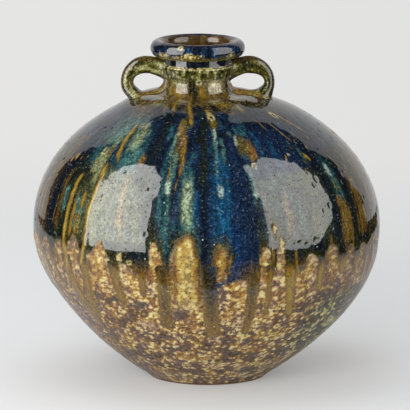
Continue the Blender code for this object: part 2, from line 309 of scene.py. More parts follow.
@dataclass(frozen=True)
class PotForm:
    """The outline that the potter threw, with the lean of the axis, in metres."""

    foot_radius: float = 0.0422
    foot_chamfer: float = 0.0008
    foot_ring_width: float = 0.0095
    foot_recess: float = 0.0025
    foot_recess_slope: float = 0.0015
    floor_thickness: float = 0.009
    belly_radius: float = 0.123
    belly_height: float = 0.1065
    wall: float = 0.0065
    shoulder_rise: float = 0.1015
    crown_radius: float = 0.0217
    bowl_fullness: float = 0.0534
    shoulder_fullness: float = 0.062
    foot_flare: Pair = (0.0126, 0.0068)
    crown_flare: Pair = (0.0400, 0.0099)
    neck_foot_radius: float = 0.0350
    neck_foot_feather: float = 0.0004
    throat_radius: float = 0.0172
    waist_radius: float = 0.0226
    waist_rise: float = 0.0078
    flare_share: float = 0.72
    wall_bulge: float = 0.0009
    wall_steepness: float = 1.16
    collar_rise: float = 0.0094
    collar_radius: float = 0.0261
    collar_taper: float = 0.0013
    collar_depth: float = 0.0093
    collar_edge: float = 0.0012
    groove_radius: float = 0.0240
    groove_depth: float = 0.0059
    neck_wall_at_lip: float = 0.0048
    foot_lean: float = 0.0008
    bowl_lean: float = 0.0021
    shoulder_lean: float = -0.0011
    neck_lean: float = -0.0062
    bowl_lean_share: float = 0.48
    shoulder_lean_share: float = 0.82
    crown_dip: float = 0.0032
    crown_dip_in: float = 0.0255
    crown_dip_out: float = 0.0450
    nod: float = 0.024
    nod_start: float = 0.135
    nod_back: float = 0.034

    def bowl(self, count: int) -> Array:
        """The bowl's outside, from the foot's edge up to the belly."""
        foot = (self.foot_radius, self.foot_chamfer)
        handle = (foot[0] + self.foot_flare[0], foot[1] + self.foot_flare[1])
        belly = (self.belly_radius, self.belly_height)
        return bezier((foot, handle, (belly[0], belly[1] - self.bowl_fullness), belly), count)

    def dome(self, count: int) -> Array:
        """The shoulder's outside, from the belly up to the crown under the neck."""
        belly = (self.belly_radius, self.belly_height)
        crown = (self.crown_radius, self.belly_height + self.shoulder_rise)
        handle = (crown[0] + self.crown_flare[0], crown[1] - self.crown_flare[1])
        return bezier((belly, (belly[0], belly[1] + self.shoulder_fullness), handle, crown), count)

    def shoulder_height(self, radius: Array | float) -> Array:
        """How high the shoulder's outside stands at a radius."""
        dome = self.dome(400)[::-1]
        return np.interp(radius, dome[:, 0], dome[:, 1])

    def dip(self, radius: Array | float) -> Array:
        """How far the crown sinks under the even dome, round the neck's foot."""
        return self.crown_dip * (1 - smoothstep(self.crown_dip_in, self.crown_dip_out, radius))

    @property
    def seat(self) -> float:
        """The height of the seat that the neck stands on."""
        return float(self.shoulder_height(self.neck_foot_radius))

    @property
    def ledge(self) -> float:
        """The height of the collar's top."""
        return self.seat + self.collar_rise + self.collar_depth

    @property
    def lip_seat(self) -> float:
        """The height at which the lip is joined on."""
        return self.ledge + self.groove_depth

    def lean(self, height: Array | float) -> Array:
        """How far the pot's axis stands off the belly's axis, along X.

        Args:
            height: Heights above the floor.

        Returns:
            The offsets in metres, of height's shape.
        """
        shoulder = self.belly_height + self.shoulder_lean_share * self.shoulder_rise
        heights = (0.0, self.bowl_lean_share * self.belly_height, self.belly_height, shoulder, self.seat)
        leans = (self.foot_lean, self.bowl_lean, 0.0, self.shoulder_lean, self.neck_lean)
        found = np.full(np.shape(height), leans[0])
        for low, high, low_lean, high_lean in zip(heights, heights[1:], leans, leans[1:]):
            found = found + (high_lean - low_lean) * smoothstep(low, high, height)
        return found

    def stand(self, points: Array) -> Array:
        """Moves points of the upright pot to where they are on the leaning, nodding one."""
        deep, height = points[..., 1], points[..., 2]
        nodding = self.nod * (deep - self.nod_back) * smoothstep(self.nod_start, self.seat, height)
        return np.stack([points[..., 0] + self.lean(height), deep, height + nodding], axis=-1)

    def neck_side(self) -> Array:
        """The neck's outside, from its feathered foot to the lip's seat."""
        foot = (self.neck_foot_radius, self.seat - float(self.dip(self.neck_foot_radius)))
        waist = (self.waist_radius, self.seat + self.waist_rise)
        place = foot[0] - self.flare_share * (foot[0] - waist[0])
        level = self.shoulder_height(place) - float(self.dip(place)) - self.neck_foot_feather
        wall_handle = (waist[0] + self.wall_bulge, waist[1] - self.wall_steepness * self.waist_rise)
        flare = bezier((foot, (place, level), wall_handle, waist), 24)
        return np.concatenate([flare, soften(np.array([waist, *self._collar()]), 2)[1:]])

    def _collar(self) -> tuple[Pair, ...]:
        """The corners of the collar and the groove over it, rounded off by shares of the collar's edge."""
        foot, low = self.collar_radius - self.collar_taper, self.seat + self.collar_rise
        edge, ledge = self.collar_edge, self.ledge
        return (
            (self.waist_radius + 0.35 * (foot - self.waist_radius), low - 0.2 * edge),
            (foot, low + 0.7 * edge),
            (self.collar_radius, ledge - edge),
            (self.collar_radius - 0.2 * edge, ledge - 0.25 * edge),
            (self.collar_radius - edge, ledge),
            (self.groove_radius + 0.2 * edge, ledge - 0.2 * edge),
            (self.groove_radius, ledge + 0.3 * edge),
            (self.groove_radius, self.lip_seat),
        )

    def skin_line(self) -> Array:
        """The bare outline that handles are pressed on, from the shoulder up to the groove."""
        dome = self.dome(240)
        dome[:, 1] -= self.dip(dome[:, 0])
        return np.concatenate([dome[dome[:, 0] > self.neck_foot_radius], self.neck_side()])


FORM = PotForm()


@dataclass(frozen=True)
class Wash:
    """A soft patch of one tint on the pot, in degrees round it and millimetres up it."""

    azimuth: float
    spread: float
    top: float
    bottom: float
    tint: Tint
    strength: float = 1.0
    feather: float = 6.0

    def reach(self, flow: Array, height: Array) -> Array:
        """How far into the patch each point is, from 0 to 1."""
        rise = (self.bottom - self.feather, self.bottom + self.feather)
        fall = (self.top - self.feather, self.top + self.feather)
        return bell(turn_between(flow, self.azimuth), 0.0, self.spread) * band(height, rise, fall)


@dataclass(frozen=True)
class Line:
    """A narrow run of amber, through points given as (azimuth in degrees, height in millimetres)."""

    points: tuple[Pair, ...]
    width: float
    strength: float = 1.0

    def cover(self, flow: Array, height: Array, radius: Array) -> Array:
        """How near each point is to the line: 1 on it, 0.5 at its edge, 0 well off it."""
        azimuths, heights = np.array(self.points[::-1], float).T
        across = np.abs(turn_between(flow, 0.0) - np.interp(height, heights, azimuths)) * DEGREE * radius
        beyond = np.maximum(heights[0] - height, height - heights[-1])
        taper = 1 - smoothstep(-6.0, 3.0, beyond)
        half = self.width / 2 * (0.4 + 0.6 * taper)
        return np.clip(1.0 - 0.5 * across / half, 0.0, 1.0) * taper * self.strength


@dataclass(frozen=True)
class Crater:
    """A burst bubble: a pale rim round a dark pit, with its radius in millimetres."""

    azimuth: float
    height: float
    radius: float

    def distance(self, azimuth: Array, height: Array, reach: Array, flat: float) -> Array:
        """How far off the crater's middle each point is.

        Args:
            azimuth: Degrees round the pot.
            height: Millimetres above the floor.
            reach: Millimetres from the pot's axis.
            flat: How many times wider than tall the crater is.

        Returns:
            Distances, with 1 on the rim.
        """
        across = turn_between(azimuth, self.azimuth) * DEGREE * reach
        return np.hypot(across, (height - self.height) * flat) / self.radius


@dataclass(frozen=True)
class Islet:
    """An islet of crust that stands alone in the runs, half_turn in degrees and half_rise in millimetres."""

    azimuth: float
    height: float
    half_turn: float
    half_rise: float


@dataclass(frozen=True)
class Drip:
    """A tongue of the run glaze over the crust. Azimuths in degrees, the rest in millimetres."""

    azimuth: float
    foot_azimuth: float
    half_width: float
    foot_half_width: float
    foot: float

    def depth(self, azimuth: Array, height: Array, degree: Array, start: float) -> Array:
        """How deep in the drip each point is.

        Args:
            azimuth: Degrees round the pot.
            height: Millimetres above the floor.
            degree: Millimetres in one degree round the pot, at each point.
            start: The height from which the drip runs down.

        Returns:
            Millimetres in from the drip's edge, below zero outside it.
        """
        share = np.clip((start - height) / (start - self.foot), 0.0, 1.0)
        middle = self.azimuth + (self.foot_azimuth - self.azimuth) * share**1.5
        half = self.half_width + (self.foot_half_width - self.half_width) * share
        below = np.clip(self.foot + half - height, 0.0, None)
        return half - np.hypot(turn_between(azimuth, middle) * degree, below)


WASHES = (
    Wash(-46, 12, 196, 176, SEA, 0.45, 4),
    Wash(-48, 14, 203, 192, MAUVE, 0.6, 3),
    # The two pale sage washes at about ±32°, where the soft boxes shine on the belly, are painted to warm
    # those highlights.
    Wash(-32, 17, 163, 110, SAGE, 0.3, 7),
    Wash(33, 17, 160, 110, SAGE, 0.16, 7),
    Wash(-70, 6, 176, 108, UMBER, 0.6),
    Wash(-63, 4, 176, 108, NIGHT, 0.8),
    Wash(-57, 4, 168, 112, BLACK_GREEN, 0.8),
    Wash(-68, 9, 201, 196, MOSS, 0.9, 1.5),
    Wash(-58.5, 1, 160, 116, UMBER, 0.8),
    Wash(-50, 6, 178, 148, BLACK_GREEN, 0.7),
    Wash(-51, 3.2, 176, 162, TEAL, 0.7),
    Wash(-48, 3, 186, 176, SEA, 0.6),
    Wash(-47.3, 2.4, 170, 158, SAGE, 0.55, 4),
    Wash(-48.2, 2.2, 141, 120, SEA, 0.8),
    Wash(-47.4, 1.4, 130, 114, BRONZE, 0.8, 3),
    Wash(-56.2, 1.5, 146, 130, SEA, 0.8, 4),
    Wash(-44.4, 1.6, 184, 150, SAGE, 0.4),
    Wash(-38, 1.8, 186, 166, BLACK_GREEN, 0.8),
    Wash(-33, 7, 187, 160, TEAL, 0.8),
    Wash(-34, 3.4, 187, 174, SAGE, 0.55, 4),
    Wash(-32, 4, 178, 162, SEA, 0.5),
    Wash(-60, 4, 172, 156, NIGHT, 0.85),
    Wash(-36, 3, 190, 186, SAGE, 0.5, 2),
    Wash(-23.5, 3.8, 198, 150, NIGHT, 0.85),
    Wash(-22, 2, 196, 160, BLACK_GREEN, 0.6),
    Wash(-27, 1.6, 172, 165, BRONZE, 0.8, 3),
    Wash(-29.6, 1.2, 158, 120, OCHRE, 0.35),
    Wash(-18.6, 2.2, 172, 100, NIGHT, 0.8),
    Wash(-15.6, 1.5, 178, 128, TEAL, 0.6),
    Wash(-13.6, 1.4, 150, 108, TEAL, 0.7),
    Wash(-13.2, 0.7, 148, 120, SEA, 0.4),
    Wash(-12, 3.4, 194, 168, OLIVE, 0.6),
    Wash(-11.6, 2.2, 188, 174, UMBER, 0.75, 3),
    Wash(-14.6, 0.9, 190, 170, SEA, 0.8, 3),
    Wash(-13.4, 1.8, 193, 187, AMBER, 0.8, 2.5),
    Wash(-10.8, 1.1, 185, 178, ROSE, 0.45, 3),
    Wash(-9.4, 1, 184, 160, BRONZE, 0.7, 4),
    Wash(-12.6, 1.1, 174, 150, SEA, 0.7, 4),
    Wash(-6.8, 2.6, 168, 110, TEAL, 0.8),
    Wash(-5.9, 1.8, 160, 121, SEA, 0.9),
    Wash(-6.4, 2, 158, 128, SAGE, 0.5, 9),
    Wash(-8.4, 0.5, 156, 124, NIGHT, 0.5),
    Wash(-5.8, 0.8, 154, 140, MILK, 0.5),
    Wash(-4.2, 0.7, 142, 116, SEA, 0.6),
    Wash(-13.4, 0.9, 157, 148, MILK, 0.75, 3),
    Wash(-2.9, 0.8, 150, 100, COBALT, 0.6),
    Wash(-0.6, 1.7, 198, 150, BLACK_GREEN, 0.95),
    Wash(-0.2, 1.6, 156, 72, NIGHT, 0.9),
    Wash(1.4, 0.9, 150, 60, NAVY, 0.8),
    Wash(5.6, 3.8, 172, 92, COBALT, 0.75, 8),
    Wash(5.3, 1.6, 160, 78, COBALT, 0.6),
    Wash(4.4, 1, 190, 160, SEA, 0.6),
    Wash(3.6, 0.7, 180, 120, NIGHT, 0.6),
    Wash(6.6, 0.6, 168, 130, NAVY, 0.6),
    Wash(7.9, 1, 183, 168, SEA, 0.7, 3),
    Wash(5.2, 0.8, 188, 180, MILK, 0.6, 3),
    Wash(5.2, 0.9, 154, 146, MILK, 0.6, 3),
    Wash(11.4, 3, 182, 122, NAVY, 0.95),
    Wash(9.4, 2.4, 128, 84, INDIGO, 0.85),
    Wash(13.2, 1.4, 126, 90, NAVY, 0.8),
    Wash(15.6, 1.4, 164, 98, NAVY, 0.8),
    Wash(12.4, 1.2, 187, 184, SEA, 0.6, 1.5),
    Wash(17.2, 1, 166, 142, SEA, 0.6),
    Wash(17.6, 1, 150, 146, MILK, 0.6, 2),
    Wash(15, 0.8, 184, 178, MILK, 0.6, 2),
    Wash(17.4, 2.4, 184, 173, OLIVE, 0.8, 4),
    Wash(20.8, 2.2, 181, 169, BRONZE, 0.85, 4),
    Wash(22, 1.1, 179, 171, RUST, 0.8, 3),
    Wash(5.2, 2.8, 199, 189, OLIVE, 0.9, 2.5),
    Wash(5.2, 1.6, 198, 192, AMBER, 0.9, 2),
    Wash(35, 12, 199, 160, NAVY, 0.95),
    Wash(25, 1.2, 186, 168, COBALT, 0.6),
    Wash(31, 1, 180, 166, COBALT, 0.5),
    Wash(28.5, 1.2, 146, 116, OCHRE, 0.3),
    Wash(49, 6, 180, 112, NIGHT, 0.85),
    Wash(53.2, 2.8, 166, 136, TEAL, 0.7),
    Wash(52.6, 1, 162, 154, MILK, 0.8, 3),
    Wash(54, 1, 152, 138, SEA, 0.6),
    Wash(44, 1, 176, 164, SEA, 0.5),
    Wash(58, 2.4, 164, 112, NIGHT, 0.8),
    Wash(52.8, 2.8, 138, 106, BRONZE, 0.75, 8),
    Wash(63, 3.4, 150, 112, UMBER, 0.8),
    Wash(64, 1.6, 148, 114, BRONZE, 0.7),
    Wash(67.5, 1.6, 138, 116, NIGHT, 0.6),
    Wash(74, 5, 165, 112, UMBER, 0.6),
    Wash(-31, 13, 114, 94, BLACK_GREEN, 0.85),
    Wash(32, 13, 114, 94, BLACK_GREEN, 0.8),
    Wash(40, 3.5, 114, 106, NIGHT, 0.9, 3),
)

LINES = (
    Line(((-42.2, 191), (-40.8, 180), (-38.6, 170), (-36.8, 164)), 3.4),
    Line(((-46.6, 178), (-43.6, 172), (-41.8, 164)), 2.2, 0.8),
    Line(((-41.9, 166), (-42, 145), (-43.2, 112), (-45, 92)), 3.6),
    Line(((-52, 158), (-53.2, 130), (-52.6, 108), (-51, 84)), 4.2),
    Line(((-47.6, 132), (-49.6, 122)), 2.6, 0.75),
    Line(((-60.4, 150), (-60.8, 132), (-60.6, 116)), 1.6, 0.7),
    Line(((-71, 165), (-71.8, 140), (-71, 108)), 2.6, 0.75),
    Line(((-9, 180), (-9.6, 166), (-10.8, 148)), 1.5, 0.85),
    Line(((-14, 170), (-13.8, 152)), 1.2, 0.8),
    Line(((-23, 208), (-20.8, 194)), 4.6, 0.75),
    Line(((-9.4, 208), (-7.6, 187)), 3.8, 0.78),
    Line(((4.4, 212), (4.2, 201)), 4.6, 0.78),
    Line(((15, 209), (17.4, 196)), 4.2, 0.75),
    Line(((31, 196), (33.4, 190), (36, 183)), 1.8, 0.7),
    Line(((38.6, 193), (41.6, 184), (45.4, 174)), 1.7, 0.75),
    Line(((52, 199), (55, 190), (60, 178)), 2.2, 0.8),
    Line(((57, 172), (60, 160), (63, 150)), 1.6, 0.75),
    Line(((51, 146), (51.6, 128), (52.2, 98)), 2, 0.8),
    Line(((54.8, 138), (55.6, 118), (56, 96)), 2.4, 0.72),
    Line(((61, 150), (62, 132), (62.6, 108)), 2.6, 0.72),
    Line(((65, 146), (65.6, 128), (65.6, 112)), 2.2, 0.7),
    Line(((14.2, 108), (14.8, 92)), 2, 0.7),
    Line(((21.6, 116), (22, 94)), 2, 0.8),
    Line(((29.6, 112), (30.4, 88)), 3, 0.85),
    Line(((41.4, 106), (42.4, 88)), 2.6, 0.75),
    Line(((73, 160), (75, 110)), 2.4, 0.65),
)

CRATERS = (
    Crater(-47.4, 171, 1.8),
    Crater(5.4, 195, 1.7),
    Crater(19.6, 166, 1.3),
    Crater(-36, 101, 1.2),
    Crater(-25.5, 100.5, 1.4),
    Crater(8.5, 49, 1.6),
    Crater(-11, 50, 1.5),
    Crater(51, 193, 1.4),
    Crater(-34, 63, 1.6),
    Crater(27, 52, 1.5),
    Crater(2, 213, 1.7),
)

# Where the runs end and the crust starts, as (azimuth, height): high points are islands of crust.
RUN_ENDS = (
    (-76, 108), (-70, 96), (-65.5, 108), (-61, 92), (-56, 108), (-52, 94), (-48, 114), (-44.5, 94),
    (-40, 104), (-36.6, 113), (-34.4, 104), (-32, 92), (-29.4, 98), (-26.4, 99), (-23.6, 93),
    (-21.2, 90), (-19.2, 92), (-17.4, 116), (-15.4, 108), (-13.6, 90), (-12.2, 92), (-10.4, 112),
    (-8.6, 119), (-5.4, 122), (-3.4, 112), (-1.8, 90), (1.4, 88), (3.4, 84), (8.2, 88), (11.2, 90),
    (13.4, 84), (16.6, 86), (18.4, 112), (19.8, 112), (21.4, 90), (22.8, 98), (24.2, 119), (26, 100),
    (28.6, 92), (31, 92), (33, 94), (35.2, 104), (37.6, 102), (40.6, 92), (43.2, 108), (45.4, 108),
    (48.6, 94), (51.6, 96), (54.4, 106), (58, 94), (62, 104), (66, 96), (71, 108), (76, 96),
)

DRIPS = (
    Drip(-61.5, -61, 4, 3.2, 76),
    Drip(-52.6, -50.2, 5.2, 5, 46),
    Drip(-43.4, -47.6, 4.4, 3.6, 54),
    Drip(-31.4, -31, 4.6, 3.8, 68),
    Drip(-21.2, -22, 3.4, 2.8, 76),
    Drip(-14, -16.6, 5.4, 4.6, 52),
    Drip(0.2, 1.4, 6.2, 5.4, 46),
    Drip(15.4, 14, 5, 3.2, 47),
    Drip(20.6, 20.4, 2.4, 2.2, 62),
    Drip(27.6, 30.4, 4.6, 3.4, 60),
    Drip(40.2, 40, 3.8, 3, 76),
    Drip(50, 50.6, 5.6, 3.2, 86),
    Drip(58, 58.4, 4.2, 3.2, 82),
    Drip(66, 66.6, 3.8, 2.8, 76),
    Drip(73, 73, 3.8, 2.8, 80),
)

ISLETS = (
    Islet(4.7, 101, 2.7, 13),
    Islet(-28.6, 104, 1, 3),
    Islet(22.6, 124, 0.6, 3.5),
    Islet(-13, 188, 1.4, 2.6),
)

# The tints that each part of the glaze passes through, from its darkest to its palest.
BLUE_RUNS = ((0.0, NIGHT), (0.34, NAVY), (0.62, TEAL), (0.9, SEA), (1.2, MILK))
GREEN_RUNS = ((0.0, NIGHT), (0.25, BLACK_GREEN), (0.5, MOSS), (0.7, FERN), (1.0, SAGE))
BROWN_RUNS = ((0.0, NIGHT), (0.3, BLACK_GREEN), (0.6, UMBER), (0.95, OLIVE))
BROWN_TOES = ((0.0, MOSS), (0.3, UMBER), (0.7, BRONZE), (1.1, OCHRE))
NECK_RUNS = ((0.0, BLACK_GREEN), (0.25, UMBER), (0.5, OLIVE), (0.75, BRONZE), (1.1, HONEY))
COLLAR_SPECKS = ((0.05, BLACK_GREEN), (0.3, MOSS), (0.55, OLIVE), (0.85, SAGE), (1.1, CREAM))
INSIDE_GLAZE = ((0.1, BLACK_GREEN), (0.42, UMBER), (0.66, OLIVE), (1.0, OCHRE))
LIP_BLUES = ((0.0, NIGHT), (0.38, NAVY), (0.66, COBALT), (0.9, TEAL), (1.15, MILK))
LIP_PATCHES = ((0.2, UMBER), (0.5, AMBER), (0.8, CREAM))
LUG_GREENS = ((0.0, BLACK_GREEN), (0.26, MOSS), (0.46, OLIVE), (0.68, SAGE), (1.05, CREAM))
AMBER_RUNS = ((0.25, BLACK_GREEN), (0.4, UMBER), (0.58, BRONZE), (0.8, AMBER), (1.1, HONEY))
CRUST_RING = ((0.5, BLACK_GREEN), (0.62, UMBER), (0.74, RUST), (0.86, AMBER), (0.98, HONEY))
WARM_CRUST = (
    (0.0, BLACK_GREEN), (0.08, UMBER), (0.2, MAUVE), (0.3, RUST), (0.42, OCHRE),
    (0.66, CREAM), (1.0, BISQUE),
)
COOL_CRUST = ((0.0, BLACK_GREEN), (0.12, MAUVE), (0.3, MAUVE), (0.44, ROSE), (0.66, CREAM))
MOSSY_CRUST = ((0.1, BLACK_GREEN), (0.34, MOSS), (0.48, SAGE), (0.66, CREAM))


@dataclass
class GlazeFields:
    """What the glaze is at each point of a mesh, as arrays that share all but their last axis."""

    wash: Array
    place: Array
    amber: Array
    crust: Array
    gold: Array
    blob: Array
    tone: Array
    green: Array
    bare: Array

    def taken(self, chosen: slice | tuple[slice, slice]) -> GlazeFields:
        """The fields of some of the points."""
        return GlazeFields(**{name: values[chosen] for name, values in vars(self).items()})

    def flat(self) -> GlazeFields:
        """The fields as one row of points, in the order of a mesh's vertices."""
        count = self.bare.size
        shapes = {name: (count, 3) if name in ("wash", "place") else count for name in vars(self)}
        return GlazeFields(**{name: values.reshape(shapes[name]) for name, values in vars(self).items()})


@dataclass(frozen=True)
class SkinPoints:
    """Where the points of the thrown skin are, with the streaks that cross them.

    Azimuths are in degrees, 0 at the front, and lengths in millimetres. The flow is the azimuth that a run
    keeps from the neck down to its toe, and the place is where noise is read for it, so that it comes out
    drawn down the pot.
    """

    azimuth: Array
    height: Array
    arc: Array
    radius: Array
    points: Array
    flow: Array
    place: Array
    streak: Array
    grainy: Array

    @property
    def side(self) -> Array:
        """Degrees from the front, on either side."""
        return np.abs(self.azimuth)

    @property
    def neck_rise(self) -> Array:
        """Millimetres above the neck's foot."""
        return self.height - FORM.seat / MM


@dataclass(frozen=True)
class MeltEdge:
    """Where the melt ends and the crust starts.

    Above is the millimetres above the crust's edge, dripping the millimetres in from a drip's edge, core how
    dark the drip's middle is, and blue how much the blue front column keeps its colour down there.
    """

    above: Array
    dripping: Array
    core: Array
    blue: Array


@dataclass(frozen=True)
class Bubbles:
    """The burst bubbles, as how much each point is a pale rim and how much it is a dark pit."""

    rim: Array
    pit: Array


@dataclass
class GlazeMap:
    """How the glaze lies on the thrown skin. Heights and lengths are in millimetres here."""

    flow_level: float = 100.0
    flow_spread: float = 0.003
    streak_stretch: float = 0.12
    streak_radius: float = 115.0
    crust_grain: float = 5.2
    fine_grain: float = 3.3
    bubble_grain: float = 6.2
    bubble_share: float = 0.62
    glaze_depth: float = 0.42
    seed: int = 5

    def locate(self, azimuth: Array, height: Array, arc: Array, radius: Array) -> SkinPoints:
        """Works out what the glaze needs to know of each point.

        Args:
            azimuth: Degrees round the pot, 0 at the front.
            height: Millimetres above the floor.
            arc: Millimetres up the outline from the foot.
            radius: Millimetres from the pot's axis.

        Returns:
            The points, each array of azimuth's shape.
        """
        points = round_points(azimuth, radius, height)
        flow = self.run_azimuth(azimuth, height, points)
        reach = np.minimum(self.streak_radius, 0.45 * self.streak_radius + 0.55 * radius)
        place = round_points(flow, reach, arc * self.streak_stretch)
        streak = 0.7 * NOISE.smooth(place + 41.0, 3.0) + 0.5 * FINE_NOISE.smooth(place + 9.0, 1.5)
        grainy = FINE_NOISE.smooth(tall(points, 0.5), 2.8)
        return SkinPoints(azimuth, height, arc, radius, points, flow, place, streak, grainy)

    def run_azimuth(self, azimuth: Array, height: Array, points: Array) -> Array:
        """The azimuth at which each point's run crosses the flow level.

        Args:
            azimuth: Degrees round the pot, 0 at the front.
            height: Millimetres above the floor.
            points: The places themselves, for the runs' wander.

        Returns:
            Azimuths in degrees that stay the same down a run.
        """
        front = 1 - smoothstep(60, 110, np.abs(azimuth))
        spread = self.flow_spread * np.clip(self.flow_level - height, 0, None) * azimuth * front
        wander = 0.6 * NOISE.smooth(points, 24.0) + 0.3 * FINE_NOISE.smooth(points, 7.0)
        return azimuth - spread + wander

    def run_ends(self) -> tuple[Array, Array]:
        """The height at which the runs end, all round: the front listed, the rest drawn by the seed."""
        draw = np.random.default_rng(self.seed)
        first, last = RUN_ENDS[0], RUN_ENDS[0][0] + 357
        ends, high = list(RUN_ENDS), True
        place = ends[-1][0]
        while place < last:
            place += draw.uniform(1.6, 3.8)
            ends.append((place, draw.uniform(100, 118) if high else draw.uniform(86, 96)))
            if draw.random() < 0.4:
                place += draw.uniform(1.4, 3.0)
                ends.append((place, ends[-1][1] + draw.uniform(-4, 4)))
            high = not high
        kept = [end for end in ends if end[0] < last] + [(first[0] + 360, first[1])]
        azimuths, heights = np.array(kept, float).T
        return azimuths, heights

    def drips(self) -> tuple[Drip, ...]:
        """The front's drips as listed, and the rest drawn by the seed."""
        draw = np.random.default_rng(self.seed + 1)
        drawn, place = [], DRIPS[-1].azimuth
        while True:
            place += draw.uniform(6.0, 15.0)
            if place > DRIPS[0].azimuth + 354:
                return (*DRIPS, *drawn)
            width = draw.uniform(2.4, 5.0)
            drawn.append(Drip(place, place + draw.uniform(-2, 2), width, 0.7 * width, draw.uniform(46, 82)))

    def end_height(self, azimuth: Array) -> Array:
        """The run ends read at azimuths, with round tops and toes."""
        azimuths, heights = self.run_ends()
        place = (azimuth - azimuths[0]) % 360.0 + azimuths[0]
        index = np.clip(np.searchsorted(azimuths, place, side="right") - 1, 0, len(azimuths) - 2)
        share = (place - azimuths[index]) / (azimuths[index + 1] - azimuths[index])
        first, second = heights[index], heights[index + 1]
        climbed = np.sin(0.5 * math.pi * np.where(first <= second, share, 1 - share)) ** 0.8
        return np.minimum(first, second) + np.abs(second - first) * climbed

    def melt_edge(self, skin: SkinPoints) -> MeltEdge:
        """Where the runs, their drips and the islets meet the crust."""
        slope = np.abs(self.end_height(skin.flow + 0.3) - self.end_height(skin.flow - 0.3)) / 0.6
        degree = np.maximum(skin.radius, 30.0) * DEGREE
        above = (skin.height - self.end_height(skin.flow)) / np.sqrt(1 + (slope / degree) ** 2)
        for islet in ISLETS:
            sideways = turn_between(skin.flow, islet.azimuth) / islet.half_turn
            upward = (skin.height - islet.height) / islet.half_rise
            above = np.minimum(above, (np.hypot(sideways, upward) - 1) * islet.half_turn * degree)
        far_off = -20.0
        dripping = np.full(skin.azimuth.shape, far_off)
        for drip in self.drips():
            inside = drip.depth(skin.azimuth, skin.height, degree, self.flow_level)
            dripping = np.maximum(dripping, np.where(skin.height < self.flow_level, inside, far_off))
        core = smoothstep(1.4, 4.0, dripping) * band(skin.height, (50, 70), (90, 104))
        return MeltEdge(
            above=np.maximum(above, dripping) + 0.9 * FINE_NOISE.smooth(skin.points + 3.0, 4.5),
            dripping=dripping,
            core=core * smoothstep(0.2, 0.8, bell(skin.azimuth, 0.0, 24.0) + 0.3 * skin.streak),
            blue=0.9 * bell(skin.flow, 5.0, 9.0) * smoothstep(66, 84, skin.height),
        )

    def crust_cover(self, skin: SkinPoints, edge: MeltEdge) -> Array:
        """How much each point is crust, 0.5 at its edge. A rusty lobe left of the front thins it."""
        crust = np.clip(0.5 - edge.above / 10.0, 0.0, 1.0)
        rusty = bell(skin.flow, -10.4, 1.5) * smoothstep(70, 84, skin.height)
        return crust - 0.26 * rusty * smoothstep(0.56, 0.9, crust)

    def base_colour(self, skin: SkinPoints) -> Array:
        """The runs' own colour before any wash: blue at the front, greener and burnt toward the sides."""
        streak = 0.6 * NOISE.smooth(skin.place, 8.0) + 0.5 * FINE_NOISE.smooth(skin.place, 3.8)
        streak += 0.3 * NOISE.smooth(skin.place + 77.0, 1.9) + 0.35 * FINE_NOISE.layered(skin.points, 7.0, 2)
        value = 0.2 + 0.5 * streak
        top = 0.9 * smoothstep(158, 182, skin.height)
        regions = 0.8 * NOISE.smooth(skin.place + 13.0, 30.0) + 1.1 * smoothstep(26, 54, skin.side)
        spots = NOISE.smooth(skin.place + 91.0, 8.0) + 0.3 * smoothstep(30, 60, skin.side)
        green = smoothstep(-0.1, 0.5, regions - 0.4 - top)
        burnt = smoothstep(0.0, 0.5, spots - 0.25 - top)
        base = blend(ramp(value, BLUE_RUNS), ramp(value, GREEN_RUNS), green)
        return blend(base, ramp(value, BROWN_RUNS), 0.85 * burnt)

    def wash_colour(self, skin: SkinPoints) -> Array:
        """The runs' colour with all the washes, which break up along the streaks."""
        wash = self.base_colour(skin)
        broken = 1 + 0.5 * skin.streak + 0.55 * skin.grainy
        for patch in WASHES:
            cover = patch.reach(skin.flow, skin.height) * broken
            wash = lay(wash, patch.tint, patch.strength * smoothstep(0.08, 0.95, cover))
        return wash

    def toe_colour(self, wash: Array, skin: SkinPoints, edge: MeltEdge) -> Array:
        """Browns the runs' ends, darkens the drips' middles, and lays moss along the crust's edge."""
        brown = ramp(0.62 + 0.22 * skin.streak, BROWN_TOES)
        wash = blend(wash, brown, 0.94 * (1 - smoothstep(86, 106, skin.height)) * (1 - edge.blue))
        wash = lay(wash, BLACK_GREEN, 0.55 * edge.core)
        halo = 1 - smoothstep(0.6, 4.6, edge.above + 1.2 * skin.grainy)
        return lay(wash, MOSS, 0.8 * halo * band(skin.height, (88, 104), (150, 170)))

    def darken_toward_neck(self, wash: Array, skin: SkinPoints) -> Array:
        """Darkens the runs toward the neck, the most on the right."""
        right = 0.4 * smoothstep(182, 192, skin.height) * smoothstep(16, 28, skin.azimuth)
        return wash * (1 - right - 0.3 * smoothstep(188, 196, skin.height))[..., None]

    def neck_runs(self, skin: SkinPoints) -> Array:
        """How light each run on the neck is, lighter on each side of its front: on the right partly the
        amber glaze and partly painted highlight, on the left painted highlight, where the soft boxes shine
        on the neck.
        """
        down = tall(skin.place, 4.0)
        runs = 0.75 * NOISE.smooth(down + 21.0, 13.0) + 0.45 * FINE_NOISE.smooth(down + 2.0, 5.0) - 0.1
        # Painted highlight: the bumps at 24° and -38° lighten the neck where the soft boxes shine on it; the
        # one at 24° also carries the amber glaze there.
        return runs + 0.35 * bell(skin.azimuth, 24.0, 14.0) + 0.35 * bell(skin.azimuth, -38.0, 16.0)

